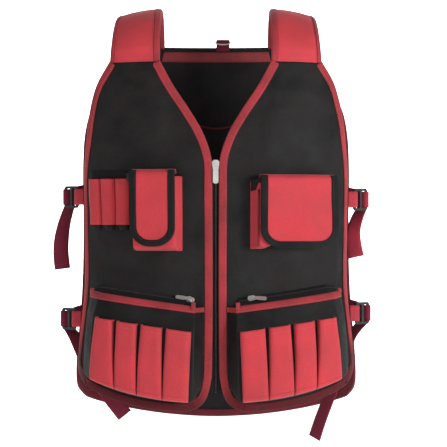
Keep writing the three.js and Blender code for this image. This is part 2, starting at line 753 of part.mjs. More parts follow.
const ARCH_COLUMNS = [
  { at: 0, rise: 0 }, { at: 0.07, rise: 0.66 }, { at: 0.3, rise: 1 },
  { at: 0.7, rise: 1 }, { at: 0.93, rise: 0.66 }, { at: 1, rise: 0 },
];

function buildPenLoops() {
  const rows = [{ share: 0, rise: 1 }, { share: 0.5, rise: 0.94 }, { share: 1, rise: 0.96 }];
  for (let i = 0; i < PEN_COUNT; i += 1) {
    const start = PEN_START + i * (PEN_WIDTH + GAP);
    const loop = shell(rows, ARCH_COLUMNS, POCKET_CLOTH, (row, at, inset, rise) => {
      const around = start + inset + (PEN_WIDTH - 2 * inset) * at;
      return onBody("front", -around, PEN_TOP + PEN_HEIGHT * row.share, (CLOTH + PEN_RISE - inset) * rise);
    });
    add(`pen_loop_${i + 1}`, cut(loop, envelopes.right), RED);
  }
}

// Chest pocket: pouch with folded-in sides, a flap over its mouth, and the flap's edging
function buildFlapPocket(name, size) {
  const side = size.side < 0 ? "right" : "left";
  const inner = size.tuckInside / size.width;
  const outer = 1 - size.tuckOutside / size.width;
  const columns = [
    { at: 0, rise: 0 }, { at: inner * 0.8, rise: 0.8 }, { at: inner, rise: 1 },
    ...evenly(4, inner, outer).slice(1, 4).map((at) => ({ at, rise: 1 })),
    { at: outer, rise: 1 }, { at: 1, rise: 0 },
  ];
  const rows = [
    { share: 0, rise: 0.94, foot: 0 }, { share: 0.5, rise: 1, foot: 0 },
    { share: 0.96, rise: 1, foot: 1 }, { share: 1, rise: 0, foot: 1 },
  ];
  const pouch = shell(rows, columns, POCKET_CLOTH, (row, at, inset, rise) => {
    const around = size.inside + inset + (size.width - 2 * inset) * at;
    const down = size.top + size.height * row.share - inset * row.foot;
    return onBody("front", size.side * around, down, (size.depth - inset) * rise);
  });
  add(`${name}_pouch`, cut(pouch, envelopes[side]), RED);

  const proud = size.depth + FLAP_CLEAR;
  const dropOf = curveOf(FLAP_PATH, "down", "drop");
  const liftOf = curveOf(FLAP_PATH, "down", "lift");
  const cornerFrom = 1 - (FLAP_CORNER / size.flapHeight) * 0.88;
  const flapRows = [...FLAP_PATH.slice(0, -2).map((row) => row.down), 0.5, ...evenly(3, cornerFrom, 1)];
  const flap = new Sheet(flapRows, evenly(5), size.side, (down, across) => {
    const drop = dropOf(down) * size.flapHeight;
    const near = Math.max(FLAP_CORNER - (size.flapHeight - drop), 0);
    const round = FLAP_CORNER - Math.sqrt(Math.max(FLAP_CORNER ** 2 - near ** 2, 0)) * 0.999;
    const around = size.flapInside + round + (size.flapWidth - 2 * round) * across;
    return onBody("front", size.side * around, size.flapTop + drop, liftOf(down) * proud);
  });
  add(`${name}_flap`, cut(flap.solid(0, POCKET_CLOTH), envelopes[side]), RED);
  add(`${name}_flap_edging`, flap.edging(FLAP_EDGING_WIDTH, EDGING, POCKET_CLOTH, FLAP_PLAIN_ROWS), BLACK);
}

// Lower pouch: slanted mouth line, slot line and foot as depths down for a share across
const pouchMouth = (share) => POUCH_TOP - POUCH_TOP_RISE * share;
const slotMouth = (share) => SLOT_TOP - SLOT_TOP_RISE * share;
const pouchAround = (share) => POUCH_INSIDE + POUCH_WIDTH * share;
const pouchFoot = (share) => frontHem(pouchAround(share)) - POUCH_HEM_GAP;
const slotFoot = (share) => frontHem(pouchAround(share)) - SLOT_BOTTOM_GAP;
const POUCH_ROWS = [
  { line: pouchMouth, rise: POUCH_MOUTH / POUCH_DEPTH, foot: 0 },
  { line: slotMouth, rise: 0.95, foot: 0 },
  { line: (share) => (slotMouth(share) + slotFoot(share)) / 2, rise: 1, foot: 0 },
  { line: slotFoot, rise: 0.93, foot: 1 },
  { line: pouchFoot, rise: 0, foot: 1 },
];
const POUCH_COLUMNS = [
  { at: 0, rise: 0, corner: 1 }, { at: 0.02, rise: 0.5, corner: 0.65 },
  { at: 0.065, rise: 1, corner: 0.18 }, { at: 0.1, rise: 1, corner: 0 },
  { at: 0.28, rise: 1, corner: 0 }, { at: 0.48, rise: 1, corner: 0 },
  { at: 0.67, rise: 1, corner: 0 }, { at: 0.86, rise: 1, corner: 0 },
  { at: 0.97, rise: 0.6, corner: 0.05 }, { at: 1, rise: 0, corner: 0.15 },
];

function pouchShell(side, grow, thickness) {
  const skin = (inset, lift) => POUCH_ROWS.map((row) => POUCH_COLUMNS.map((column) => {
    const around = POUCH_INSIDE + inset + (POUCH_WIDTH - 2 * inset) * column.at;
    const height = (POUCH_DEPTH * row.rise - inset) * column.rise + lift;
    const raised = (inset + POUCH_CORNER * column.corner) * row.foot;
    return onBody("front", side * around, row.line(column.at) - raised, height);
  }));
  return between(skin(0, grow), grow > 0 ? skin(0, -POUCH_DEPTH) : skin(thickness, 0));
}

// Front of the pouch cloth at a share across and a depth down
function pouchFace(side, share, down, lift) {
  const rows = POUCH_ROWS.slice(1, 4);
  const low = down > rows[1].line(share) ? 1 : 0;
  const from = rows[low].line(share);
  const part = (down - from) / (rows[low + 1].line(share) - from);
  const rise = rows[low].rise + (rows[low + 1].rise - rows[low].rise) * part;
  return onBody("front", side * pouchAround(share), down, POUCH_DEPTH * rise + lift);
}

function buildLowerPouches() {
  for (const [name, side] of Object.entries(SIDES)) {
    add(`lower_pouch_${name}`, cut(pouchShell(side, 0, POCKET_CLOTH), envelopes[name]), BLACK);
    const pouchEnvelope = pouchShell(side, GAP, POUCH_DEPTH);
    buildToolSlots(name, side, pouchEnvelope);
    buildPouchMouth(name, side);
  }
}

function buildToolSlots(name, side, envelope) {
  const rows = [
    { share: 0, rise: 1, foot: 0 }, { share: 0.48, rise: 0.8, foot: 0 },
    { share: 0.95, rise: 0.62, foot: 1 }, { share: 1, rise: 0, foot: 1 },
  ];
  for (let i = 0; i < SLOT_COUNT; i += 1) {
    const from = SLOT_BOUNDS[i];
    const to = SLOT_BOUNDS[i + 1];
    const wedge = SLOT_WEDGE / POUCH_WIDTH;
    const slot = shell(rows, ARCH_COLUMNS, POCKET_CLOTH, (row, at, inset, rise) => {
      const gap = (wedge / 2) * (1 - row.share) + GAP / POUCH_WIDTH;
      const fold = inset / POUCH_WIDTH;
      const start = from.mouth + (from.foot - from.mouth) * row.share + gap + fold;
      const end = to.mouth + (to.foot - to.mouth) * row.share - gap - fold;
      const share = start + (end - start) * at;
      const down = slotMouth(share) + (slotFoot(share) - slotMouth(share)) * row.share - inset * row.foot;
      return pouchFace(side, share, down, (SLOT_RISE + SLOT_SEAT - inset) * rise - SLOT_SEAT);
    });
    add(`tool_slot_${name}_${i + 1}`, cut(slot, envelope), RED);
  }
}

// Red tape folded over the pouch's mouth, and the closed zip between it and the panel
function buildPouchMouth(name, side) {
  const columns = POUCH_COLUMNS.slice(2, -1);
  const height = (column, drop) => {
    const slope = (POUCH_ROWS[1].rise * POUCH_DEPTH - POUCH_MOUTH)
      / (slotMouth(column.at) - pouchMouth(column.at));
    return POUCH_MOUTH + slope * drop;
  };
  const spot = (column, drop, inset, share = 1) => {
    const around = POUCH_INSIDE + inset + (POUCH_WIDTH - 2 * inset) * column.at;
    const lift = (height(column, Math.max(drop, 0)) - inset) * column.rise * share;
    return onBody("front", side * around, pouchMouth(column.at) + drop, lift);
  };
  const fold = (out) => columns.map((column) => [
    spot(column, PIPING_TAPE_WIDTH, -out),
    spot(column, -out, -out),
    spot(column, -out, POCKET_CLOTH + out),
    spot(column, PIPING_TAPE_WIDTH / 2, POCKET_CLOTH + out),
  ]);
  add(`pouch_piping_${name}`, between(fold(GAP + EDGING), fold(GAP)), RED);

  const behind = POCKET_CLOTH + EDGING + 3 * GAP;
  const lid = (under) => columns.map((column) => POCKET_ZIP_PROFILE.map((row) => (
    spot(column, under * row.thick * ZIP_CHAIN - row.rise * column.rise, behind, row.at))));
  add(`pocket_zip_${name}`, cut(between(lid(0), lid(1)), envelopes[name]), BLACK);

  const share = (POCKET_SLIDER_AT[name] - POUCH_INSIDE) / POUCH_WIDTH;
  const full = (at) => ({ at, rise: 1 });
  const [near, far] = POCKET_ZIP_PROFILE.filter((row) => row.thick === 1);
  const coil = (at, along) => spot(
    full(at), (near.rise - far.rise) * along - near.rise, behind, near.at + (far.at - near.at) * along);
  const outward = coil(share + 0.02, 0.5).sub(coil(share - 0.02, 0.5)).normalize();
  const downSlope = coil(share, 1).sub(coil(share, 0)).normalize();
  const off = side > 0 ? outward.clone().cross(downSlope) : downSlope.clone().cross(outward);
  off.normalize().multiplyScalar(off.y > 0 ? -1 : 1);
  const at = coil(share, 0.5).addScaledVector(off, GAP);
  const names = { slider: `pocket_slider_${name}`, pull: `pocket_pull_${name}` };
  placeSlider(names, POCKET_SLIDER, at, outward.clone().negate(), off, POCKET_DROOP[name]);
}

// Flat frame with two windows that the webbing threads: x along the strap, y across it
function buckleFrame() {
  const halfLength = BUCKLE_LENGTH / 2;
  const halfHeight = WEBBING_WIDTH / 2 + BUCKLE_BAR + 1;
  const corner = BUCKLE_BAR * 0.8;
  const outline = new THREE.Shape([
    [halfLength - corner, -halfHeight], [halfLength, corner - halfHeight],
    [halfLength, halfHeight - corner], [halfLength - corner, halfHeight],
    [corner - halfLength, halfHeight], [-halfLength, halfHeight - corner],
    [-halfLength, corner - halfHeight], [corner - halfLength, -halfHeight],
  ].map(([x, y]) => new THREE.Vector2(x, y)));
  const windowLength = halfLength - 1.5 * BUCKLE_BAR;
  const windowAt = BUCKLE_BAR / 2 + windowLength / 2;
  const window = () => new THREE.BoxGeometry(
    windowLength, 2 * (halfHeight - BUCKLE_BAR), 2 * BUCKLE_THICKNESS);
  const frame = plate(outline, BUCKLE_THICKNESS, -BUCKLE_THICKNESS / 2);
  const near = cut(frame, window().translate(-windowAt, 0, 0));
  return cut(near, window().translate(windowAt, 0, 0));
}

function buildSideStraps() {
  const up = new THREE.Vector3(0, 0, 1);
  const angle = THREE.MathUtils.degToRad(BUCKLE_ANGLE);
  const loopRadius = BUCKLE_THICKNESS / 2 + WEBBING / 2 + 2.5 * GAP;
  const farLoop = Math.hypot(BUCKLE_BAR, BUCKLE_THICKNESS) / 2 + WEBBING / 2 + 2 * GAP;
  const barAt = BUCKLE_LENGTH / 2 - BUCKLE_BAR / 2;
  const under = -BEHIND_EDGING - WEBBING / 2;
  for (const { name, side, down, tail, turn: tailTurn, route } of SIDE_STRAPS) {
    const sheet = frontSheets[side < 0 ? "right" : "left"];
    const rowAt = (down - FRONT_TOP) / (FRONT_LENGTH - FRONT_HEM_RISE - FRONT_TOP);
    const edge = sheet.place(rowAt, 1);
    edge.z = -down;
    const along = new THREE.Vector3(side * Math.cos(angle), Math.sin(angle), 0);
    const out = new THREE.Vector3(side * Math.sin(angle), -Math.cos(angle), 0);
    const centre = edge.clone().addScaledVector(along, BUCKLE_REACH);
    const local = (l, h, z = 0) => centre.clone()
      .addScaledVector(along, l).addScaledVector(out, h).addScaledVector(up, z);
    const frame = new THREE.Matrix4().makeBasis(along, up, along.clone().cross(up)).setPosition(centre);
    add(`side_buckle_${name}`, buckleFrame().applyMatrix4(frame), PLASTIC, PLASTIC_ROUGHNESS);

    // Sewn behind the front's edge, round the near bar and back on itself
    const flat = (points) => points.map((at) => ({ at, wide: up }));
    const edgeAround = outerEdge(rowAt) * FRONT_GIRTH;
    const sewn = (inside) => {
      const across = 1 - inside / (edgeAround - innerEdge(rowAt) * FRONT_GIRTH);
      return sheet.facet(rowAt, across, under - 3 * GAP).setZ(-down);
    };
    const bar = (middle, from, to, radius = loopRadius) => evenly(6, from, to).map((degrees) => {
      const radians = THREE.MathUtils.degToRad(degrees);
      return local(middle + radius * Math.cos(radians), radius * Math.sin(radians));
    });
    const front = [
      sewn(STRAP_SEAM), sewn(STRAP_SEAM / 2), sewn(-STRAP_RELEASE),
      ...LOOP_START.map((ahead) => local(-barAt - ahead, -loopRadius)),
      ...bar(LOOP_SHIFT - barAt, -90, 90),
      ...LOOP_END.map(({ past, high }) => local(-barAt - past, high)),
    ];
    add(`side_strap_front_${name}`, ribbon(flat(front), WEBBING_WIDTH, WEBBING), RED);

    // Sewn behind the back's edge, up through the far window and over the far bar
    const backDown = down - BACK_STRAP_RISE;
    const backRow = onBackSheet(BACK_GIRTH * backEdge(0.5), backDown).down;
    const backAround = backEdge(backRow) * BACK_GIRTH;
    const lift = (share) => up.clone().multiplyScalar(BACK_STRAP_RISE * share);
    const sewnBack = (inside) => {
      const across = side * (1 - inside / backAround);
      return backSheet.facet(backRow, across, under - 2 * GAP).setZ(-backDown);
    };
    const threaded = [
      ...BACK_APPROACH.map(({ before, behind, rise }) => local(barAt - before, -behind).add(lift(rise))),
      ...bar(barAt, 180, 0, farLoop),
    ];
    const bend = WEBBING_WIDTH / 2 + 2 * GAP;
    const bends = evenly(4).slice(1).map((share) => {
      const phi = (share * Math.PI) / 2;
      const wide = up.clone().multiplyScalar(Math.cos(phi)).addScaledVector(out, -Math.sin(phi));
      const at = local(barAt + farLoop, -1 - bend * Math.sin(phi), -bend * (1 - Math.cos(phi)));
      return { at, wide };
    });
    const start = bends.at(-1);
    const hang = new THREE.CatmullRomCurve3([
      start.at,
      ...route.map((step) => start.at.clone().add(
        new THREE.Vector3(side * step.out * tail, step.back * tail, -step.down * tail))),
    ]);
    const facing = new THREE.Vector3(-side, 0, 0);
    const hanging = evenly(TAIL_STEPS).slice(1).map((share) => {
      const heading = hang.getTangentAt(share);
      const wide = start.wide.clone().lerp(facing, share * tailTurn).normalize();
      wide.addScaledVector(heading, -wide.dot(heading)).normalize();
      return { at: hang.getPointAt(share), wide };
    });
    const seam = [sewnBack(STRAP_SEAM), sewnBack(STRAP_SEAM / 2), sewnBack(-STRAP_RELEASE)];
    const back = [...flat([...seam, ...threaded]), ...bends, ...hanging];
    add(`side_strap_back_${name}`, ribbon(back, WEBBING_WIDTH, WEBBING), DARK_RED);
  }
}

buildPanels();
buildStraps();
buildBackNeck();
buildMainZip();
buildPenLoops();
buildFlapPocket("phone", PHONE);
buildFlapPocket("chest", CHEST);
buildLowerPouches();
buildSideStraps();

export default vest;
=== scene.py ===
import math

import bmesh
import bpy
import numpy as np
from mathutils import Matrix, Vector


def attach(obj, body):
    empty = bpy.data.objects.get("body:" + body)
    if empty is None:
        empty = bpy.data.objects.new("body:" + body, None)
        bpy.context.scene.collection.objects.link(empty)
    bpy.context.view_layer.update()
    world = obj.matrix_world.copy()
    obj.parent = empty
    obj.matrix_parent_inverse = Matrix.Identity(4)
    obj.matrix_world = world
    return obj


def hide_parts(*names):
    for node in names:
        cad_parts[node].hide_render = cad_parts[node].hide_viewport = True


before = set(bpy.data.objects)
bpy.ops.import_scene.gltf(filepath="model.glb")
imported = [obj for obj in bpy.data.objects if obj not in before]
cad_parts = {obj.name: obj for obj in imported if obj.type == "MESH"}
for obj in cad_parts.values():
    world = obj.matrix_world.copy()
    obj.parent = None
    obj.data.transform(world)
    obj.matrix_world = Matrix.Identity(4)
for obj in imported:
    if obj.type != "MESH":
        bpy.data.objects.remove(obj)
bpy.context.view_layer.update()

# Lengths are millimetres until a mesh is made. The frame is the part's: +Z up, front towards -Y.
# Places on the body are given by the distance around it from the middle and the distance down from its top.
MM = 0.001
BACK_LENGTH, FRONT_LENGTH = 650.0, 616.0
HALF_WIDTH, FRONT_DEPTH, BACK_DEPTH, ROUNDNESS = 214.0, 120.0, 108.0, 2.3
CLOTH, POCKET_CLOTH, GAP, EDGING, EDGING_WIDTH = 2.0, 1.6, 0.3, 1.0, 11.0
FRONT_TOP, BACK_TOP, FRONT_HEM_RISE, BACK_HEM_RISE = 78.0, 40.0, 46.0, 60.0
NECK_HALF, STRAP_THICKNESS, STRAP_SLOPE = 93.0, 10.0, 13.0
STRAP_CREST_BACK, STRAP_ARCH = 12.0, 0.9
BEHIND_EDGING = EDGING + 3 * GAP
WEBBING_WIDTH, WEBBING = 25.0, 1.6
BUCKLE_LENGTH, BUCKLE_BAR, BUCKLE_THICKNESS, BUCKLE_ANGLE, BUCKLE_REACH = 28.0, 4.0, 3.5, 36.0, 30.0
FLAP_CORNER, FLAP_CLEAR, FLAP_EDGING_WIDTH = 28.0, 2.6, 9.0
POUCH_INSIDE, POUCH_WIDTH, POUCH_TOP, POUCH_TOP_RISE = 19.0, 184.0, 459.0, 25.0
POUCH_MOUTH, POUCH_DEPTH, POUCH_CORNER, POUCH_HEM_GAP = 16.0, 30.0, 28.0, 13.0
SLOT_TOP, SLOT_TOP_RISE, SLOT_BOTTOM_GAP, SLOT_RISE, SLOT_WEDGE = 496.0, 28.0, 19.0, 13.0, 5.0
SLOT_FOOT_DROP, SLOT_FOOT_RISE = 5, 11
PIPING_TAPE_WIDTH = 9.0
ZIP_TOP, ZIP_BOTTOM, ZIP_HALF, ZIP_CHAIN = 236.0, 588.0, 2.2, 3.4
PHONE = dict(side=-1, inside=51, width=75, top=258, height=114, depth=27, tuck_in=10, tuck_out=5,
             flap_inside=60, flap_width=63, flap_top=249, flap_height=115, narrow=0)
CHEST = dict(side=1, inside=53, width=126, top=266, height=103, depth=30, tuck_in=14, tuck_out=5,
             flap_inside=66, flap_width=110, flap_top=257, flap_height=109, narrow=7)
SIDES = {"right": -1, "left": 1}
PEN_START, PEN_WIDTH, PEN_TOP, PEN_HEIGHT, PEN_DEPTH = 131.0, 24.6, 261.0, 71.0, 11.0
PEN_PITCH = PEN_WIDTH + GAP
STRAP_WIDTH, STRAP_TAPE, STRAP_TAPE_LIFT, STRAP_NOSE = 66.0, 6.5, 0.75, 1.3
STRAP_BULGE, STRAP_END_RAMP, STRAP_THINNEST, STRAP_LAP = 0.32, 4.5, 0.27, 3.0
EDGING_SEAM, FLAP_SEAM, PIPING_SEAM, TIE_START, TIE_LENGTH = 2.2, 2.0, 2.0, 17.0, 17.0
PEN_BAND_RISE, PEN_BAND_HEIGHT, PEN_BAND_LENGTH, PEN_SEAM = 11.5, 11.0, 75.0, 2.5
NECK_BAND_TOP, NECK_BAND_BOTTOM, NECK_SEAM = 7.0, 23.0, 1.6
YOKE_HALF, YOKE_DOWN, YOKE_RISE, YOKE_RADIUS = 88.0, 172.0, 46.0, 1.45
HANG_WIDTH, HANG_RISE, HANG_FOOT, HANG_OFF_CENTRE = 22.0, 13.0, 22.0, 12.0
ZIP_TAPE, ZIP_CLOTH, ZIP_SET_BACK, TOOTH_PITCH = 14.0, 1.1, 1.5, 1.5

# Thread and teeth. Each row is a share of the length, then a width and a height as shares of the radius.
STITCH_PITCH, STITCH_LENGTH, STITCH_RADIUS, STITCH_START = 3.6, 2.7, 0.32, 0.2
STITCH_SHAPE = [(0.0, 0.25, -0.3), (0.25, 1, 0.55), (0.75, 1, 0.55), (1.0, 0.25, -0.3)]
TOOTH_SHAPE = [(-0.18, 0.55), (0.3, 0.75), (0.7, 0.6), (1.0, 0.1)]
# Share of a panel's rows that lies above the turn into the hem
HEM_TURN = 0.93

# Share of the back's length, then shares of the half width, the front's depth and the back's depth
SECTIONS = np.array([
    [0.046, 0.916, 0.7, 0.778], [0.123, 0.958, 0.817, 0.907], [0.215, 0.991, 0.917, 1],
    [0.369, 1, 1, 1], [0.523, 0.991, 1, 0.926], [0.677, 1, 1.017, 0.907],
    [0.831, 1.037, 1.05, 0.963], [0.969, 1.056, 1.067, 1.019]])
# Panel outlines: share of the panel's length, then share of a quarter of the girth
FRONT_INNER = np.array([
    [0, 0.336], [0.073, 0.248], [0.143, 0.153], [0.212, 0.074], [0.283, 0.028], [0.36, 0.023],
    [0.885, 0.023], [0.935, 0.036], [0.97, 0.06], [0.99, 0.1], [1, 0.153]])
FRONT_OUTER = np.array([
    [0, 0.652], [0.081, 0.741], [0.157, 0.782], [0.233, 0.805], [0.349, 0.836], [0.535, 0.844],
    [0.696, 0.829], [0.861, 0.847], [0.955, 0.847], [0.985, 0.82], [1, 0.752]])
BACK_OUTER = np.array([
    [0, 0.605], [0.09, 0.69], [0.175, 0.821], [0.244, 0.881], [0.311, 0.91], [0.47, 0.925],
    [0.9, 0.94], [0.955, 0.933], [0.985, 0.896], [1, 0.813]])
# Edges between the tool sleeves, as shares of a pouch's width
SLOT_MOUTHS = [0.068, 0.288, 0.478, 0.663, 0.832]
SLOT_FEET = [0.1, 0.294, 0.484, 0.65, 0.853]


def smooth_curve(table, column=1):
    """A smooth curve through one column of a table against its first."""
    x, y = table[:, 0], table[:, column]
    before, after = np.maximum(np.arange(len(x)) - 1, 0), np.minimum(np.arange(len(x)) + 1, len(x) - 1)
    slope = (y[after] - y[before]) / (x[after] - x[before])

    def value(at):
        at = np.asarray(at, float)
        i = np.clip(np.searchsorted(x, at, side="left") - 1, 0, len(x) - 2)
        span = x[i + 1] - x[i]
        t = np.clip((at - x[i]) / span, 0, 1)
        blend = t * t * (3 - 2 * t)
        return (y[i] + slope[i] * span * t * (1 - t) ** 2 + (y[i + 1] - y[i]) * blend
                - slope[i + 1] * span * t * t * (1 - t))
    return value


def quarter_girth(depth, steps=240):
    """Length along a quarter of the widest section against the angle reached."""
    angle = np.linspace(0, math.pi / 2, steps + 1)
    x = HALF_WIDTH * np.sin(angle) ** (2 / ROUNDNESS)
    y = depth * np.maximum(np.cos(angle), 0) ** (2 / ROUNDNESS)
    length = np.concatenate([[0], np.cumsum(np.hypot(np.diff(x), np.diff(y)))])
    return length, angle


GIRTHS = {"front": quarter_girth(FRONT_DEPTH), "back": quarter_girth(BACK_DEPTH)}
FRONT_GIRTH, BACK_GIRTH = GIRTHS["front"][0][-1], GIRTHS["back"][0][-1]
side_share = smooth_curve(SECTIONS, 1)
depth_share = {"front": smooth_curve(SECTIONS, 2), "back": smooth_curve(SECTIONS, 3)}
inner_edge, outer_edge = smooth_curve(FRONT_INNER), smooth_curve(FRONT_OUTER)
back_edge = smooth_curve(BACK_OUTER)
HEM_START = FRONT_INNER[-1, 1] * FRONT_GIRTH
HEM_SPAN = float(outer_edge(0.5)) * FRONT_GIRTH - HEM_START


def ease(value, low, high):
    t = np.clip((np.asarray(value, float) - low) / (high - low), 0, 1)
    return t * t * (3 - 2 * t)


def relief(face, around, down):
    """Slow dents and folds of the worn cloth. Pieces on the cloth share them."""
    a, d = np.asarray(around, float), np.asarray(down, float)
    wide = np.abs(a)
    if face == "front":
        calm = ease(wide, 58, 95) * (1 - ease(wide, 196, 222)) * ease(d, 90, 130) * (1 - ease(d, 392, 425))
        shift = np.where(a > 0, 1.7, 0.0)
        wave = (1.5 * np.sin(d / 47 + a / 38 + shift) + 1.1 * np.sin(d / 29 - a / 51 + 2.1 * shift + 0.8)
                + 0.7 * np.sin(d / 17 + a / 23 + 0.5))
        return calm * wave
    calm = ease(d, 60, 110) * (1 - ease(d, 590, 640)) * (1 - ease(wide, 205, 240))
    wave = (1.8 * np.sin(a / 33 + 0.6 * np.sin(d / 70)) * ease(d, 80, 200) + 1.4 * np.sin(d / 61 + a / 57)
            + 0.8 * np.sin(d / 27 - a / 41 + 1.0))
    return calm * wave


def on_body(face, around, down, lift=0.0):
    """Points on the body in pattern coordinates, as an array with x, y, z last."""
    around, down, lift = np.broadcast_arrays(*[np.asarray(v, float) for v in (around, down, lift)])
    lift = lift + relief(face, around, down)
    share = down / BACK_LENGTH
    half = HALF_WIDTH * side_share(share)
    depth = (FRONT_DEPTH if face == "front" else BACK_DEPTH) * depth_share[face](share)
    length, angles = GIRTHS[face]
    angle = np.interp(np.abs(around), length, angles)
    sine, cosine = np.sin(angle), np.maximum(np.cos(angle), 0)
    nx, ny = sine ** (2 - 2 / ROUNDNESS) / half, cosine ** (2 - 2 / ROUNDNESS) / depth
    size = np.hypot(nx, ny)
    across = half * sine ** (2 / ROUNDNESS) + lift * nx / size
    out = depth * cosine ** (2 / ROUNDNESS) + lift * ny / size
    return np.stack([np.sign(around) * across, -out if face == "front" else out, -down], axis=-1)


def on_front(around, down, lift=0.0):
    return on_body("front", around, down, lift)


def unit(v):
    return v / np.maximum(np.linalg.norm(v, axis=-1, keepdims=True), 1e-9)


class Sheet:
    """A smooth sheet of cloth: place(down, across) gives its inner face."""

    def __init__(self, turn, place):
        self.turn, self.place = turn, place

    def slopes(self, down, across, step):
        return (self.place(down + step, across) - self.place(down - step, across),
                self.place(down, across + step) - self.place(down, across - step))

    def at(self, down, across, lift=0.0):
        """Points over the sheet, and its outward directions there."""
        down, across, lift = np.broadcast_arrays(*[np.asarray(v, float) for v in (down, across, lift)])
        normal = unit(np.cross(*self.slopes(down, across, 0.0015))) * self.turn
        return self.place(down, across) + normal * lift[..., None], normal

    def grid(self, downs, acrosses, lift):
        return self.at(*np.meshgrid(downs, acrosses, indexing="ij"), lift)[0]

    def inward(self, downs, acrosses, tangents, distances, lifts):
        """Points at distances in from border stations, along the cloth."""
        base, normal = self.at(downs, acrosses)
        inner = unit(np.cross(normal, tangents))
        step = 0.002
        du, dv = [slope / (2 * step) for slope in self.slopes(downs, acrosses, step)]
        a, b, c = (du * du).sum(-1), (du * dv).sum(-1), (dv * dv).sum(-1)
        det = np.maximum(a * c - b * b, 1e-6)
        rows = []
        for distance, lift in zip(distances, lifts):
            if distance <= 0:
                rows.append(base + inner * distance + normal * lift)
                continue
            move = inner * distance
            p, q = (move * du).sum(-1), (move * dv).sum(-1)
            rows.append(self.at(downs + (p * c - q * b) / det, acrosses + (q * a - p * b) / det, lift)[0])
        return np.stack(rows, axis=1)


def front_hem(around):
    return FRONT_LENGTH - FRONT_HEM_RISE * (np.maximum(around - HEM_START, 0) / HEM_SPAN) ** 2


def back_hem(around):
    return BACK_LENGTH - BACK_HEM_RISE * (around / BACK_GIRTH) ** 2


def front_sheet(side):
    def place(down, across):
        inside = inner_edge(down) * FRONT_GIRTH
        around = inside + (outer_edge(down) * FRONT_GIRTH - inside) * across
        return on_front(side * around, FRONT_TOP + down * (front_hem(around) - FRONT_TOP))
    return Sheet(side, place)


def back_place(down, across):
    around = across * back_edge(down) * BACK_GIRTH
    return on_body("back", around, BACK_TOP + down * (back_hem(around) - BACK_TOP))


back = Sheet(-1, back_place)
fronts = {name: front_sheet(side) for name, side in SIDES.items()}


def on_back_sheet(around, down):
    share = (down - BACK_TOP) / (back_hem(around) - BACK_TOP)
    return share, around / (back_edge(share) * BACK_GIRTH)


# Materials. Painted shade: red edging and red thread darken towards the hem between these heights in metres,
# sooner at the sides, standing in for the shade under the pouches.
HEM_SHADE_FROM, HEM_SHADE_TO, HEM_SHADE_SLOPE = -0.585, -0.622, 0.4


class Nodes:
    """The nodes of a new material. An input is a value or another node's output."""

    def __init__(self, name):
        self.material = bpy.data.materials.new(name)
        self.material.use_nodes = True
        self.tree = self.material.node_tree
        self.shader = self.tree.nodes["Principled BSDF"]

    def feed(self, made, inputs):
        for key, value in inputs.items():
            if isinstance(value, bpy.types.NodeSocket):
                self.tree.links.new(value, made.inputs[key])
            else:
                made.inputs[key].default_value = value

    def add(self, kind, inputs, **settings):
        made = self.tree.nodes.new(kind)
        for key, value in settings.items():
            setattr(made, key, value)
        self.feed(made, inputs)
        return made.outputs

    def calc(self, operation, *values):
        return self.add("ShaderNodeMath", dict(enumerate(values)), operation=operation)[0]

    def total(self, *parts):
        """The sum of values, each given with its weight."""
        terms = [self.calc("MULTIPLY", *part) for part in parts]
        while len(terms) > 1:
            terms[:2] = [self.calc("ADD", *terms[:2])]
        return terms[0]

    def noise(self, source, scale, detail, rough=0.5):
        inputs = {"Vector": source, "Scale": scale, "Detail": detail, "Roughness": rough}
        return self.add("ShaderNodeTexNoise", inputs)["Fac"]

    def ramp(self, fac, *stops):
        made = self.tree.nodes.new("ShaderNodeValToRGB")
        elements = made.color_ramp.elements
        while len(elements) < len(stops):
            elements.new(0.5)
        for element, (at, color) in zip(elements, stops):
            element.position, element.color = at, (*color, 1)
        self.feed(made, {"Fac": fac})
        return made.outputs["Color"]

    def bump(self, height, strength, distance, **below):
        inputs = {"Height": height, "Strength": strength, "Distance": distance, **below}
        return self.add("ShaderNodeBump", inputs)[0]


def tint(color, factor):
    return tuple(min(c * factor, 1.0) for c in color)


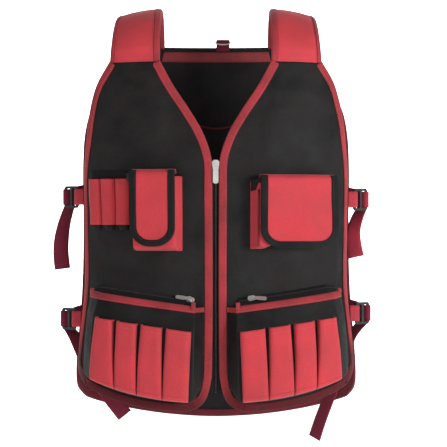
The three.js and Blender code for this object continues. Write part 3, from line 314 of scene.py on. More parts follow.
def fabric(name, color, pitch=0.9, ribs=False, sheen=0.1, rough=(0.6, 0.86), bump=0.35, mottle=0.16,
           folds=0.0016, hem=None, shine=0.2):
    """Woven polyester. The weave runs on UVs that are in millimetres of cloth."""
    cloth = Nodes(name)
    coords = cloth.add("ShaderNodeTexCoord", {})
    uv, place = coords["UV"], coords["Object"]
    threads = cloth.add("ShaderNodeSeparateXYZ", {0: uv})
    across, along = [cloth.calc("SINE", cloth.calc("MULTIPLY", threads[axis], 2 * math.pi / pitch))
                     for axis in "XY"]
    if ribs:
        weave = cloth.calc("ADD", cloth.calc("ABSOLUTE", along), cloth.calc("MULTIPLY", across, 0.2))
    else:
        weave = cloth.calc("MULTIPLY", across, along)
    slow, fine, slub = cloth.noise(place, 22, 4), cloth.noise(place, 420, 2, 0.7), cloth.noise(uv, 0.35, 2, 0.6)
    mix = cloth.total((slow, 0.55), (fine, 0.25), (slub, 0.2), (weave, 0.05))
    spread = 1.6 * mottle
    colour = cloth.ramp(mix, (0.37, tint(color, 1 - spread)), (0.5, color), (0.64, tint(color, 1 + spread)))
    # Painted shade: the hem colour multiplies in towards the hem, below the heights set above.
    if hem is not None:
        spot = cloth.add("ShaderNodeSeparateXYZ", {0: place})
        outward = cloth.calc("MULTIPLY", cloth.calc("ABSOLUTE", spot["X"]), HEM_SHADE_SLOPE)
        level = cloth.add("ShaderNodeMapRange", {
            "Value": cloth.calc("SUBTRACT", spot["Z"], outward),
            "From Min": HEM_SHADE_FROM, "From Max": HEM_SHADE_TO})
        colour = cloth.add("ShaderNodeMix", {"Factor": level[0], "A": colour, "B": (*hem, 1)},
                           data_type="RGBA", blend_type="MULTIPLY")["Result"]
    soft = cloth.bump(cloth.noise(place, 17, 1.6, 0.4), 0.6, folds)
    low, high = rough
    cloth.feed(cloth.shader, {
        "Base Color": colour, "Roughness": cloth.ramp(slow, (0.36, (low,) * 3), (0.64, (high,) * 3)),
        "Normal": cloth.bump(cloth.total((weave, 0.5), (fine, 0.8)), bump, 0.00025, Normal=soft),
        "Sheen Weight": sheen, "Sheen Roughness": 0.45, "Specular IOR Level": shine})
    return cloth.material


def hard(name, color, metallic, rough, grain=900, bump=0.15):
    """Moulded plastic or plated metal."""
    solid = Nodes(name)
    place = solid.add("ShaderNodeTexCoord", {})["Object"]
    fine, slow = solid.noise(place, grain, 3, 0.6), solid.noise(place, 90, 3)
    low, high = rough
    solid.feed(solid.shader, {
        "Base Color": solid.ramp(slow, (0.3, tint(color, 0.82)), (0.7, tint(color, 1.1))),
        "Roughness": solid.ramp(fine, (0.3, (low,) * 3), (0.7, (high,) * 3)),
        "Normal": solid.bump(fine, bump, 0.0002), "Metallic": metallic})
    return solid.material


RED, RED_EDGE, DARK = (0.45, 0.037, 0.047), (0.29, 0.028, 0.035), (0.13, 0.012, 0.020)
materials = {
    "red": fabric("red cloth", RED, folds=0.006, mottle=0.1),
    # The hem colour here is painted shade near the hem.
    "red_edge": fabric("red edging", RED_EDGE, pitch=0.7, bump=0.3, mottle=0.2, hem=(0.26, 0.2, 0.24)),
    "muted_edge": fabric("muted red tape", (0.24, 0.036, 0.040), pitch=0.7, bump=0.3),
    # Painted shade: dark red edging is a darker copy of the red edging, for the back's edging seen in shadow
    # inside the vest and for the chest gusset's pleat.
    "dark_edge": fabric("dark red edging", DARK, pitch=0.7, bump=0.3),
    # The black cloth's strong colour mottle is random tone and also painted highlight, standing in for soft
    # highlights on its rolling surface.
    "black": fabric("black cloth", (0.0082, 0.0072, 0.0070), sheen=0.03, mottle=0.5,
                    rough=(0.5, 0.74), folds=0.014, shine=0.19),
    "black_edge": fabric("black edging", (0.005, 0.0046, 0.005), pitch=0.7, sheen=0.03, mottle=0.25),
    "red_web": fabric("red webbing", (0.38, 0.030, 0.044), pitch=1.5, ribs=True, bump=0.6),
    # Painted shade: dark red and tail webbing are darker copies of the red webbing, for the strap tails that
    # hang in shadow at the sides.
    "dark_web": fabric("dark red webbing", (0.14, 0.009, 0.026), pitch=1.5, ribs=True, bump=0.6),
    "mid_web": fabric("red tail webbing", (0.30, 0.022, 0.040), pitch=1.5, ribs=True, bump=0.6),
    # The hem colour here is painted shade near the hem, as on the red edging.
    "red_thread": fabric("red thread", (0.50, 0.08, 0.09), pitch=0.5, bump=0.2, mottle=0.1,
                         hem=(0.3, 0.25, 0.3)),
    # Painted shade: dark thread is a darker copy of the red thread, to go with the darkened edging and webbing.
    "dark_thread": fabric("dark thread", (0.20, 0.03, 0.036), pitch=0.5, bump=0.2, mottle=0.1),
    "black_thread": fabric("black thread", (0.022, 0.02, 0.02), pitch=0.5, bump=0.2, mottle=0.1),
    "coil": hard("zip coil", (0.02, 0.02, 0.021), 0.0, (0.3, 0.45)),
    "plastic": hard("buckle plastic", (0.011, 0.011, 0.012), 0.0, (0.32, 0.5), grain=1600, bump=0.3),
    "metal": hard("plated metal", (0.74, 0.73, 0.71), 0.8, (0.26, 0.42), grain=700, bump=0.08),
}


# Meshes
def link(name, data):
    made = bpy.data.objects.new(name, data)
    bpy.context.collection.objects.link(made)
    return made


def make(name, points, faces, material, uvs, replaces=()):
    mesh = bpy.data.meshes.new(name)
    mesh.from_pydata((np.asarray(points) * MM).tolist(), [], [tuple(int(i) for i in face) for face in faces])
    layer = mesh.uv_layers.new(name="UVMap")
    index = np.empty(len(mesh.loops), dtype=np.int64)
    mesh.loops.foreach_get("vertex_index", index)
    layer.data.foreach_set("uv", np.asarray(uvs, float)[index].ravel())
    work = bmesh.new()
    work.from_mesh(mesh)
    bmesh.ops.recalc_face_normals(work, faces=work.faces)
    work.to_mesh(mesh)
    work.free()
    mesh.polygons.foreach_set("use_smooth", [True] * len(mesh.polygons))
    mesh.materials.append(materials[material])
    made = link(name, mesh)
    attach(made, "vest")
    for cad in replaces:
        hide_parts(cad)
    return made


def quads(rows, columns, base=0):
    index = base + np.arange(rows * columns).reshape(rows, columns)
    corners = [index[:-1, :-1], index[:-1, 1:], index[1:, 1:], index[1:, :-1]]
    return np.stack(corners, axis=-1).reshape(-1, 4).tolist()


def run_lengths(points):
    return np.concatenate([[0], np.cumsum(np.linalg.norm(np.diff(points, axis=0), axis=-1))])


def lengths_uv(grid):
    """UVs in millimetres of cloth, from the lengths along a grid's rows and columns."""
    rows, columns = grid.shape[:2]
    u, v = np.zeros((rows, columns)), np.zeros((rows, columns))
    u[:, 1:] = np.cumsum(np.linalg.norm(np.diff(grid, axis=1), axis=-1), axis=1)
    u -= u[:, columns // 2][:, None]
    v[1:] = np.cumsum(np.linalg.norm(np.diff(grid, axis=0), axis=-1), axis=0)
    return np.stack([u, v], axis=-1).reshape(-1, 2)


def slab(name, outer, inner, material, replaces=()):
    """Closed body between two grids of points."""
    rows, columns = outer.shape[:2]
    count = rows * columns
    faces = quads(rows, columns) + [face[::-1] for face in quads(rows, columns, count)]
    index = np.arange(count).reshape(rows, columns)
    border = np.concatenate([index[0, :-1], index[:-1, -1], index[-1, :0:-1], index[:0:-1, 0]])
    faces += [(b, a, a + count, b + count) for a, b in zip(border, np.roll(border, -1))]
    points, uv = np.concatenate([outer, inner]).reshape(-1, 3), lengths_uv(outer)
    return make(name, points, faces, material, np.concatenate([uv, uv]), replaces)


def front_patch(name, around, down, lift, above, below, material="black_edge"):
    """Small closed body on the front, between two heights over a lift."""
    slab(name, *[on_front(around, down, lift + level) for level in (above, below)], material)


def tube(name, sections, material, replaces=()):
    """Closed body through sections of points, each section a closed ring."""
    count, around = sections.shape[:2]
    index = np.arange(count * around).reshape(count, around)
    here, there = index[:-1], index[1:]
    corners = [here, np.roll(here, -1, 1), np.roll(there, -1, 1), there]
    faces = np.stack(corners, axis=-1).reshape(-1, 4).tolist() + [index[0][::-1], index[-1]]
    along, ring = run_lengths(sections.mean(axis=1)), run_lengths(sections[count // 2])
    uv = np.stack(np.broadcast_arrays(ring[None, :], along[:, None]), axis=-1).reshape(-1, 2)
    return make(name, sections.reshape(-1, 3), faces, material, uv, replaces)


def rings_body(name, bodies, material):
    """Small closed bodies in one mesh, each through its own rings of points."""
    verts, faces = [], []
    for rings in bodies:
        base, count, around = len(verts), len(rings), len(rings[0])
        verts += [point for ring in rings for point in ring]
        top = base + (count - 1) * around
        turn = [(k, (k + 1) % around) for k in range(around)]
        for low in range(base, top, around):
            faces += [(low + a, low + b, low + b + around, low + a + around) for a, b in turn]
        faces += [range(base + around - 1, base - 1, -1), range(top, top + around)]
    points = np.array(verts)
    make(name, points, faces, material, points[:, [0, 2]])


def resample(points, spacing, *extras):
    """Points at even spacing along a polyline, with other arrays carried along."""
    points = np.asarray(points, float)
    length = run_lengths(points)
    at = np.linspace(0, length[-1], max(int(round(length[-1] / spacing)), 2) + 1)

    def pick(values):
        values = np.asarray(values, float)
        if values.ndim == 1:
            return np.interp(at, length, values)
        return np.stack([np.interp(at, length, column) for column in values.T], axis=-1)
    return (pick(points), *[pick(extra) for extra in extras])


def tangents(points):
    return unit(np.gradient(np.asarray(points, float), axis=0))


def circle(count, first, second):
    """Points round a unit circle in the plane of two directions."""
    turns = 2 * math.pi * np.arange(count) / count
    return np.outer(np.cos(turns), first) + np.outer(np.sin(turns), second)


def stitches(name, runs, material):
    """Raised thread stitches along runs of (points, normals)."""
    bodies = []
    for points, normals in runs:
        line, normal = resample(points, STITCH_PITCH, normals)
        normal, along = unit(normal), tangents(line)
        side = unit(np.cross(normal, along))
        for start, ahead, up, across in zip(line[:-1], along, normal, side):
            bodies.append([
                start + ahead * (STITCH_START + STITCH_LENGTH * share) + up * STITCH_RADIUS * high
                + circle(5, across, up) * STITCH_RADIUS * wide for share, wide, high in STITCH_SHAPE])
    rings_body(name, bodies, material)


# Panels
def hem_rows(count, power):
    """Row shares round the hem's turn, closer together towards the hem."""
    return HEM_TURN + (1 - HEM_TURN) * (1 - (1 - np.linspace(0, 1, count)) ** power)


def build_panels():
    rows = np.concatenate([np.linspace(0, 1, 96)[:-1] * HEM_TURN, hem_rows(26, 1.7)])
    panels = [(fronts[name], np.linspace(0, 1, 56), f"front_cloth_{name}", f"front_panel_{name}")
              for name in SIDES]
    panels.append((back, np.linspace(-1, 1, 110), "back_cloth", "back_panel"))
    for sheet, across, name, cad in panels:
        outer, inner = sheet.grid(rows, across, CLOTH), sheet.grid(rows, across, 0)
        piece = slab(name, outer, inner, "black", [cad])


def border(sheet, low, high):
    """Border stations of a sheet down one side, along the hem and up the other."""
    down = np.concatenate([np.linspace(0, HEM_TURN, 160)[:-1], hem_rows(80, 2.2)])
    hem = np.linspace(low, high, 260)[1:-1]
    downs = np.concatenate([down, np.ones(len(hem)), down[::-1]])
    acrosses = np.concatenate([np.full(len(down), low), hem, np.full(len(down), high)])
    points, downs, acrosses = resample(sheet.at(downs, acrosses)[0], 4.0, downs, acrosses)
    along = tangents(points)
    for _ in range(2):
        along[1:-1] = unit(along[:-2] + 2 * along[1:-1] + along[2:])
    return downs, acrosses, along


def folded_profile(width, cloth):
    """Distances in from the edge and lifts of a folded tape, as a ring of points."""
    out, middle, nose = GAP + EDGING, cloth / 2, EDGING * 0.9
    half_out, half_in = middle + out, middle + GAP
    outer = [(width, middle + half_out - EDGING * 0.35), (width - 0.7, middle + half_out),
             (width * 0.5, middle + half_out + 0.18), (1.2, middle + half_out)]
    outer += [(-GAP - nose * math.sin(a), middle + half_out * math.cos(a))
              for a in np.linspace(0, math.pi, 9)[1:-1]]
    outer += [(1.2, middle - half_out), (width * 0.5, middle - half_out - 0.1),
              (width - 0.7, middle - half_out), (width, middle - half_out + EDGING * 0.35)]
    inner = [(width, middle - half_in), (0.5, middle - half_in)]
    inner += [(-GAP, middle + half_in * math.cos(a)) for a in (0.65 * math.pi, 0.35 * math.pi)]
    inner += [(0.5, middle + half_in), (width, middle + half_in)]
    return outer + inner


def edging(name, sheet, low, high, material, thread, replaces):
    downs, acrosses, along = border(sheet, low, high)
    points, normal = sheet.at(downs, acrosses)
    middle = sheet.at(0.5, (low + high) / 2)[0]
    along = along * np.sign(((middle - points) * np.cross(normal, along)).sum())
    sections = sheet.inward(downs, acrosses, along, *zip(*folded_profile(EDGING_WIDTH, CLOTH)))
    station = np.arange(len(downs))
    pucker = 0.16 * np.sin(station * 1.9) + 0.1 * np.sin(station * 0.7)
    sections[:, 1:4] += (normal * pucker[:, None])[:, None, :]
    tube(name, sections, material, replaces)
    runs = [(sheet.inward(downs, acrosses, along, [EDGING_WIDTH - EDGING_SEAM], [lift])[:, 0], normal * face)
            for lift, face in ((CLOTH + GAP + EDGING + 0.25, 1), (-GAP - EDGING - 0.2, -1))]
    stitches(f"{name}_stitches", runs, thread)


def build_bindings():
    for name in SIDES:
        edging(f"front_edging_{name}", fronts[name], 0, 1, "red_edge", "red_thread", [f"front_binding_{name}"])
    # Painted shade: the back's edging takes the darker red because it is seen in shadow.
    edging("back_edging", back, -1, 1, "dark_edge", "dark_thread", ["back_binding"])


# Shoulder straps
def strap_swell(along, across, quilt=1.0):
    """Half thickness of a padded strap, thin at its edges and ends."""
    edge = np.maximum(np.sin(math.pi * across), 0) ** STRAP_BULGE
    end = np.minimum(np.sin(math.pi * along) * STRAP_END_RAMP, 1)
    return STRAP_THICKNESS / 2 * np.maximum(edge * end * quilt, STRAP_THINNEST)


def strap_sheet(name, side):
    neck_share = on_back_sheet(NECK_HALF, BACK_TOP)[1]

    def place(along, across):
        share = np.clip(along, 0, 1)
        front = fronts[name].at(0.0, across, CLOTH / 2)[0]
        rear = back.at(0.0, side * (neck_share + (1 - neck_share) * across), CLOTH / 2)[0]
        end = np.where((share < 0.5)[..., None], front, rear)
        level = np.abs(np.cos(share * math.pi)) ** STRAP_ARCH
        rise = np.maximum(np.sin(share * math.pi), 0) ** STRAP_ARCH
        crest = STRAP_THICKNESS / 2 - STRAP_SLOPE * (across - 0.5)
        low = end[..., 2] - STRAP_LAP
        return np.stack([
            front[..., 0] + (rear[..., 0] - front[..., 0]) * share,
            STRAP_CREST_BACK + (end[..., 1] - STRAP_CREST_BACK) * level,
            low + (crest - low) * rise], axis=-1)
    return Sheet(-side, place)


def build_straps():
    along = np.concatenate([[0, 0.004], np.linspace(0.012, 0.988, 84), [0.996, 1]])
    across = np.concatenate([[0, 0.012], np.linspace(0.035, 0.965, 34), [0.988, 1]])
    a, c = np.meshgrid(along, across, indexing="ij")
    quilt = 1 - 0.1 * np.exp(-((c - 0.1) / 0.02) ** 2) - 0.1 * np.exp(-((c - 0.9) / 0.02) ** 2)
    crease = (0.35 * np.sin(a * 40 + 3 * c) * np.sin(a * 17 + c * 5)
              * ease(a, 0.05, 0.2) * (1 - ease(a, 0.8, 0.95)))
    swell = strap_swell(a, c, quilt)
    stations, wide = np.linspace(0.004, 0.996, 100), STRAP_TAPE / STRAP_WIDTH
    for name, side in SIDES.items():
        sheet = strap_sheet(name, side)
        outer, lining, inner = [sheet.at(a, c, lift + crease)[0] for lift in (swell, 1.0 - swell, -swell)]
        slab(f"strap_lining_{name}", lining[:, 2:-2], inner[:, 2:-2], "black")
        pad = slab(f"shoulder_pad_{name}", outer, lining, "red", [f"shoulder_strap_{name}"])

        # Folded tape along each edge, and stitches beside it and across both ends
        def tape(share, turn):
            lift = strap_swell(stations, np.clip(share, 0, 1)) + STRAP_TAPE_LIFT
            return sheet.at(stations, share, lift * turn)[0]
        runs = []
        for edge, at, toward in (("inner", 0.0, 1), ("outer", 1.0, -1)):
            shares = at + toward * wide * np.linspace(1, 0, 7)
            inside = at + toward * 0.35 * wide
            rings = [tape(share, 1) for share in shares]
            rings.append(sheet.at(stations, at - toward * STRAP_NOSE / STRAP_WIDTH)[0])
            rings += [tape(share, -1) for share in shares[::-1]]
            rings += [sheet.at(stations, inside, lift)[0] for lift in (-0.6, 0.6)]
            tube(f"strap_edging_{edge}_{name}", np.stack(rings, axis=1), "red_edge")
            seam = at + toward * (wide + 0.02)
            runs.append(sheet.at(stations, seam, strap_swell(stations, seam) + 0.1))
        for at in (0.02, 0.98):
            seam = np.linspace(0.1, 0.9, 40)
            runs.append(sheet.at(at, seam, strap_swell(at, seam) + 0.1))
        stitches(f"strap_stitches_{name}", runs, "red_thread")


# Webbing and the back neck
def ribbon(name, line, directions, width, material, replaces):
    """Webbing with rounded edges along a line. The directions, or one for all, run across it."""
    directions = np.broadcast_to(np.array(directions, float), (len(line), 3))
    centres, wides = resample(line, 2.5, unit(directions))
    wides = unit(wides)
    face = unit(np.cross(np.gradient(centres, axis=0), wides))
    half, deep = width / 2, WEBBING / 2
    top = [(-half + 0.5, deep), (-half * 0.5, deep), (0, deep), (half * 0.5, deep), (half - 0.5, deep)]
    shape = [(-half, 0), *top, (half, 0), *[(-a, -b) for a, b in top]]
    tube(name, np.stack([centres + wides * a + face * b for a, b in shape], axis=1), material, replaces)
    return centres, wides, face


def end_stitches(name, strap, station, half, turns):
    """Lines of stitches across webbing, on one face or both."""
    centre, wide, face = [part[station] for part in strap]
    line = centre + wide * np.linspace(-half, half, 9)[:, None]
    stitches(name, [(line + face * turn * 0.9, np.tile(face * turn, (9, 1))) for turn in turns], "dark_thread")


def build_back_neck():
    length = BACK_LENGTH - BACK_TOP
    half_share = on_back_sheet(NECK_HALF, BACK_TOP + NECK_BAND_TOP)[1]
    across = np.linspace(-half_share, half_share, 70)
    a, r = np.meshgrid(across, np.linspace(NECK_BAND_TOP, NECK_BAND_BOTTOM, 9) / length)
    bow = 0.25 * np.sin(np.linspace(0, math.pi, 9))[:, None]
    outer, inner = back.at(r, a, -GAP)[0], back.at(r, a, -GAP - EDGING - bow)[0]
    slab("neck_band", outer, inner, "muted_edge", ["neck_tape"])
    runs = []
    for row in (NECK_BAND_TOP + NECK_SEAM, NECK_BAND_BOTTOM - NECK_SEAM):
        seam, normal = back.at(row / length, across, -GAP - EDGING - 0.2)
        runs.append((seam, -normal))
    stitches("neck_stitches", runs, "dark_thread")

    share = np.linspace(-1, 1, 90)
    route, normal = back.at(*on_back_sheet(share * YOKE_HALF, YOKE_DOWN - YOKE_RISE * share ** 2), -GAP - 1.5)
    out = unit(np.cross(tangents(route), normal))
    turns = np.linspace(0, 2 * math.pi, 11)[:-1]
    rings = [route + (out * math.cos(t) + normal * math.sin(t)) * YOKE_RADIUS for t in turns]
    tube("yoke_cord_edge", np.stack(rings, axis=1), "dark_edge", ["yoke_piping"])

    _, side = on_back_sheet(HANG_OFF_CENTRE, BACK_TOP)
    (x, neck_y, top), foot = back.at(0.0, side)[0], back.at(HANG_FOOT / length, side)[0]
    inner_leg, outer_leg = neck_y - GAP - WEBBING / 2, neck_y + CLOTH + GAP + WEBBING / 2
    bend = (outer_leg - inner_leg) / 2
    crown = top + HANG_RISE - bend
    line = [(x, inner_leg, top - 6.0)]
    line += [(x, inner_leg + bend * (1 - math.cos(t)), crown + bend * math.sin(t))
             for t in np.linspace(0, math.pi, 13)]
    line += [(x, outer_leg, top + GAP), (x, outer_leg + foot[1] - neck_y, foot[2])]
    strap = ribbon("hang_loop", line, (1.0, 0, 0), HANG_WIDTH, "dark_web", ["hang_tab"])
    end_stitches("hang_loop_stitches", strap, -8, 9, (1,))


# Main zip
def build_main_zip():
    under = -BEHIND_EDGING
    tape = np.linspace(ZIP_HALF + GAP, ZIP_HALF + GAP + ZIP_TAPE, 8)
    strips = [(f"zip_cloth_{name}", side * tape, under, f"main_zip_tape_{name}")
              for name, side in SIDES.items()]
    strips.append(("zip_core", np.linspace(-ZIP_HALF, ZIP_HALF, 5), -ZIP_SET_BACK, "main_zip_chain"))
    for name, around, lift, cad in strips:
        a, d = np.meshgrid(around, np.linspace(ZIP_TOP, ZIP_BOTTOM, 120))
        slab(name, *[on_front(a, d, level) for level in (lift, under - ZIP_CLOTH)], "black_edge", [cad])
    length = ZIP_BOTTOM - ZIP_TOP
    coil_teeth("zip_teeth", lambda t: on_front(0.0, ZIP_TOP + length * t, -0.55),
               np.array([1.0, 0, 0]), np.array([0, -1.0, 0]), length, 2.1, 0.9)


def coil_teeth(name, route, wide, off, length, half, drop):
    """Two rows of interlocking coil teeth."""
    count = int(length / TOOTH_PITCH)
    bodies = []
    for i in range(count):
        for row, start in ((-1, 0.75), (1, 0.25)):
            t = (i + start) / count
            middle = route(t)
            along = unit(route(t + 0.2 / count) - middle)
            w = unit(wide - along * (wide @ along))
            bodies.append([
                middle + w * row * half * share + off * (0.55 * math.cos(share * math.pi / 2) - 0.4)
                + circle(6, along * TOOTH_PITCH * 0.44, off * drop) * thick for share, thick in TOOTH_SHAPE])
    rings_body(name, bodies, "coil")


# Chest pieces
def rounded(profile, count, blur):
    """A fine profile of a table's columns against its first, with softened corners."""
    table = np.array(profile, float)
    t, key = np.linspace(0, 1, 1201), np.linspace(0, 1, len(table))
    fine = np.stack([np.interp(t, key, column) for column in table.T], axis=-1)
    width = int(blur * 1200)
    kernel = np.hanning(2 * width + 3)
    kernel /= kernel.sum()
    rows = np.concatenate([np.repeat(fine[:1], width + 1, 0), fine, np.repeat(fine[-1:], width + 1, 0)])
    soft = np.stack([np.convolve(column, kernel, mode="valid") for column in rows.T], axis=-1)
    soft[0], soft[-1] = fine[0], fine[-1]
    return soft[np.linspace(0, len(soft) - 1, count).round().astype(int)]


def arch(angle, power):
    """Shares across a sleeve against the angle over its arch."""
    return 0.5 - 0.5 * np.sign(np.cos(angle)) * np.abs(np.cos(angle)) ** power


def build_pen_loops():
    angle = np.linspace(0, math.pi, 30)
    foot = PEN_TOP + PEN_HEIGHT
    d, a = np.meshgrid(np.linspace(0, 1, 40), arch(angle, 0.75), indexing="ij")
    h = np.broadcast_to(np.sin(angle) ** 0.8, d.shape)
    for i in range(3):
        swell = 1 - 0.08 * np.sin(math.pi * d) + 0.03 * np.sin(9 * d + i * 2)

        def skin(inset):
            around = PEN_START + i * PEN_PITCH + inset + (PEN_WIDTH - 2 * inset) * a
            high = CLOTH + GAP + np.where(h < 0.02, 0, (PEN_DEPTH - GAP - inset) * h * swell)
            return on_front(-around, PEN_TOP + PEN_HEIGHT * d, high)
        slab(f"pen_sleeve_{i + 1}", skin(0), skin(POCKET_CLOTH), "red", [f"pen_loop_{i + 1}"])
    around, down = np.meshgrid(np.linspace(PEN_START - 1, PEN_START + PEN_BAND_LENGTH, 50),
                               np.linspace(0, 1, 8))
    swell = 1.6 * np.abs(np.sin((around - PEN_START) / PEN_PITCH * math.pi)) * down
    front_patch("pen_band", -around, PEN_TOP - PEN_BAND_RISE + PEN_BAND_HEIGHT * down, CLOTH + swell, 2.6, 1.2)
    across, down = np.meshgrid(np.linspace(-1, 1, 16), np.linspace(0, 1, 8))
    for i in range(3):
        around = PEN_START + PEN_PITCH * (i + 0.5) + 8.6 * across * (1 - 0.3 * down ** 2)
        high = CLOTH + 1.8 + 6.0 * np.sqrt(1 - across ** 2) * (1 - down ** 2)
        front_patch(f"pen_nub_{i + 1}", -around, foot - 0.5 + 9 * down, high, 0, -1.2)
    around = np.linspace(PEN_START + 1, PEN_START + 3 * PEN_PITCH - 2, 160)
    phase = (around - PEN_START) / PEN_PITCH % 1
    lift = CLOTH + PEN_DEPTH * np.maximum(np.sin(math.pi * phase), 0) ** 0.85 + 0.35
    runs = []
    for down in (PEN_TOP + PEN_SEAM, foot - PEN_SEAM):
        line, rear = [on_front(-around, down, level) for level in (lift, lift - 1)]
        runs.append((line, unit(line - rear)))
    stitches("pen_sleeve_stitches", runs, "red_thread")


# A flap from its seam to its foot: share of the rows, then of its height and of its distance from the panel
FLAP_PATH = np.array([
    [0, 0.045, 0.08], [0.05, 0, 0.3], [0.12, 0, 0.75], [0.18, 0.03, 0.95],
    [0.24, 0.09, 1], [0.6, 0.54, 1], [1, 1, 1]])


def build_flap_pocket(name, size):
    side, width, depth, narrow = [size[key] for key in ("side", "width", "depth", "narrow")]
    tuck_in, tuck_out = size["tuck_in"], size["tuck_out"]
    rows = np.concatenate([np.linspace(0, HEM_TURN, 40), hem_rows(14, 1)[1:]])
    profile = rounded([
        (0, 0), (1.2, 0.3 * depth), (tuck_in * 0.62, 0.42 * depth), (tuck_in * 0.36, 0.55 * depth),
        (tuck_in * 0.7, 0.94 * depth), (tuck_in + 2, depth), (width * 0.35, depth), (width * 0.5, depth * 1.01),
        (width * 0.65, depth), (width - tuck_out, depth), (width - 0.8, depth * 0.5), (width, 0)], 110, 0.016)
    a, down = np.meshgrid(profile[:, 0], rows)
    rise = profile[:, 1] * np.interp(down, [0, 0.5, 0.955, 0.985, 1], [0.94, 1, 0.98, 0.7, 0])

    def skin(inset):
        around = size["inside"] + inset + (width - 2 * inset - narrow) * a / width
        high = np.maximum(rise * (depth - inset) / depth, CLOTH + GAP)
        drop = (size["height"] - 1.3 * narrow * ease(a, 18, 44)) * down - inset * ease(down, 0.9, 1.0)
        return on_front(side * around, size["top"] + drop, high)
    slab(f"{name}_pocket", skin(0), skin(POCKET_CLOTH), "red", [f"{name}_pouch"])
    build_flap(name, size, depth + FLAP_CLEAR)


def build_flap(name, size, proud):
    side = size["side"]
    left, wide, top, high = size["flap_inside"], size["flap_width"], size["flap_top"], size["flap_height"]
    drop_of, lift_of = smooth_curve(FLAP_PATH, 1), smooth_curve(FLAP_PATH, 2)

    def buckled(around, drop):
        waves = np.sin(drop / 15 + around / 19 + side) * np.sin(around / 11 - drop / 37)
        return 0.5 * waves * ease(drop, 12, 40)

    def spot(down, across):
        drop = drop_of(down) * high
        near = np.clip(FLAP_CORNER - (high - drop), 0, FLAP_CORNER)
        round_in = FLAP_CORNER - np.sqrt(np.maximum(FLAP_CORNER ** 2 - near ** 2, 0))
        around = left + round_in + (wide - 2 * round_in) * across
        return around, drop, np.maximum(lift_of(down) * proud, CLOTH + GAP) + buckled(around, drop)

    def place(down, across):
        around, drop, lift = spot(down, across)
        return on_front(side * around, top + drop, lift)
    sheet = Sheet(side, place)
    rows = np.concatenate([np.linspace(0, 0.3, 26)[:-1], np.linspace(0.3, 0.82, 24)[:-1],
                           0.82 + 0.18 * (1 - (1 - np.linspace(0, 1, 22)) ** 1.8)])
    down, across = np.meshgrid(rows, np.linspace(0, 1, 44), indexing="ij")
    base, normal = sheet.at(down, across)
    around, drop, lift = spot(down, across)
    outwards = unit(on_front(side * around, top + drop, lift + 1) - base)
    share = ease(down, 0.2, 0.3)[..., None]
    normal = unit(normal * (1 - share) + outwards * share)
    slab(f"{name}_cover", base + normal * POCKET_CLOTH, base, "red", [f"{name}_flap"])

    def seat(around, drop, lift):
        level = np.interp(drop / high, FLAP_PATH[3:, 1], FLAP_PATH[3:, 2])
        return on_front(side * around, top + drop, level * proud + buckled(around, drop) + lift)
    turn = np.linspace(0, math.pi / 2, 16)[1:-1]
    corner = [(FLAP_CORNER * (1 - math.cos(t)), high - FLAP_CORNER * (1 - math.sin(t))) for t in turn]
    edge = [(0, drop) for drop in np.linspace(-0.8, high - FLAP_CORNER, 44)] + corner
    foot = [(a, high) for a in np.linspace(FLAP_CORNER, wide - FLAP_CORNER, 24)]
    outline = np.array(edge + foot + [(wide - a, drop) for a, drop in edge[::-1]]) + (left, 0)
    route, = resample(outline, 2.5)
    along = tangents(route)
    inner = np.stack([along[:, 1], -along[:, 0]], axis=-1)
    inner *= np.sign(((np.array([left + wide / 2, high / 2]) - route) * inner).sum(-1).mean())

    def ring(distances, lifts):
        around, drop = [route[:, k:k + 1] + inner[:, k:k + 1] * np.array(distances) for k in (0, 1)]
        return seat(around, drop, np.array(lifts))
    sections = ring(*zip(*folded_profile(FLAP_EDGING_WIDTH, POCKET_CLOTH)))
    tube(f"{name}_cover_edging", sections, "black_edge", [f"{name}_flap_edging"])
    seam = POCKET_CLOTH + GAP + EDGING + 0.2
    line, above = [ring([FLAP_EDGING_WIDTH - FLAP_SEAM], [level])[:, 0] for level in (seam, seam + 1)]
    stitches(f"{name}_cover_stitches", [(line, unit(above - line))], "black_thread")
    d, a = np.meshgrid(np.linspace(0, 1, 8), np.linspace(0, 1, 8), indexing="ij")
    lift = proud * (0.96 - 0.35 * a ** 2) + 0.5 * np.sin(3 * d)
    front_patch(f"{name}_corner_fold", side * (left + wide - 4 + 13 * a), top + 4 + (16 - 5 * a) * d,
                lift, 0, -1.4)
    if size["narrow"]:
        t, d = np.meshgrid(np.linspace(0, 1, 8), np.linspace(0, 1, 10))
        crease = size["inside"] + size["tuck_in"] * (0.56 + 0.2 * t)
        # Painted shade: the pleat's crease is drawn as a strip of dark red.
        front_patch(f"{name}_gusset_pleat", side * crease, size["top"] + 12 + (size["height"] - 16) * d,
                    size["depth"] * 0.95 + 0.4 * np.sin(3 * d), 0.8, -0.4, "dark_edge")
        around = size["inside"] - 0.6 + (left - size["inside"] + 1.5) * t
        lift = (proud - 1.2) * (0.55 + 0.45 * t ** 0.5) * (1 - 0.3 * d)
        front_patch(f"{name}_gusset_fold", side * around, top + 7 + 17 * d - 4 * t, lift, 1.2, 0)


# Lower pouches. A share runs across a pouch from the zip's side to the outer side.
# Rows run from the mouth at 0 to the sleeves' mouth, middle and foot and the pouch's foot at 4.
POUCH_RISE = np.array([[0, POUCH_MOUTH / POUCH_DEPTH], [1, 0.95], [2, 1], [3, 0.93], [4, 0]])
# Each row is a share, then the share of the height there and how far the corner is cut
POUCH_COLUMNS = np.array([
    [0, 0, 1], [0.02, 0.5, 0.65], [0.065, 1, 0.18], [0.1, 1, 0], [0.28, 1, 0], [0.48, 1, 0], [0.67, 1, 0],
    [0.86, 1, 0], [0.97, 0.6, 0.05], [1, 0, 0.15]])


def pouch_column(share, value=1):
    return np.interp(share, POUCH_COLUMNS[:, 0], POUCH_COLUMNS[:, value])


def pouch_around(share, inset=0.0):
    return POUCH_INSIDE + inset + (POUCH_WIDTH - 2 * inset) * share


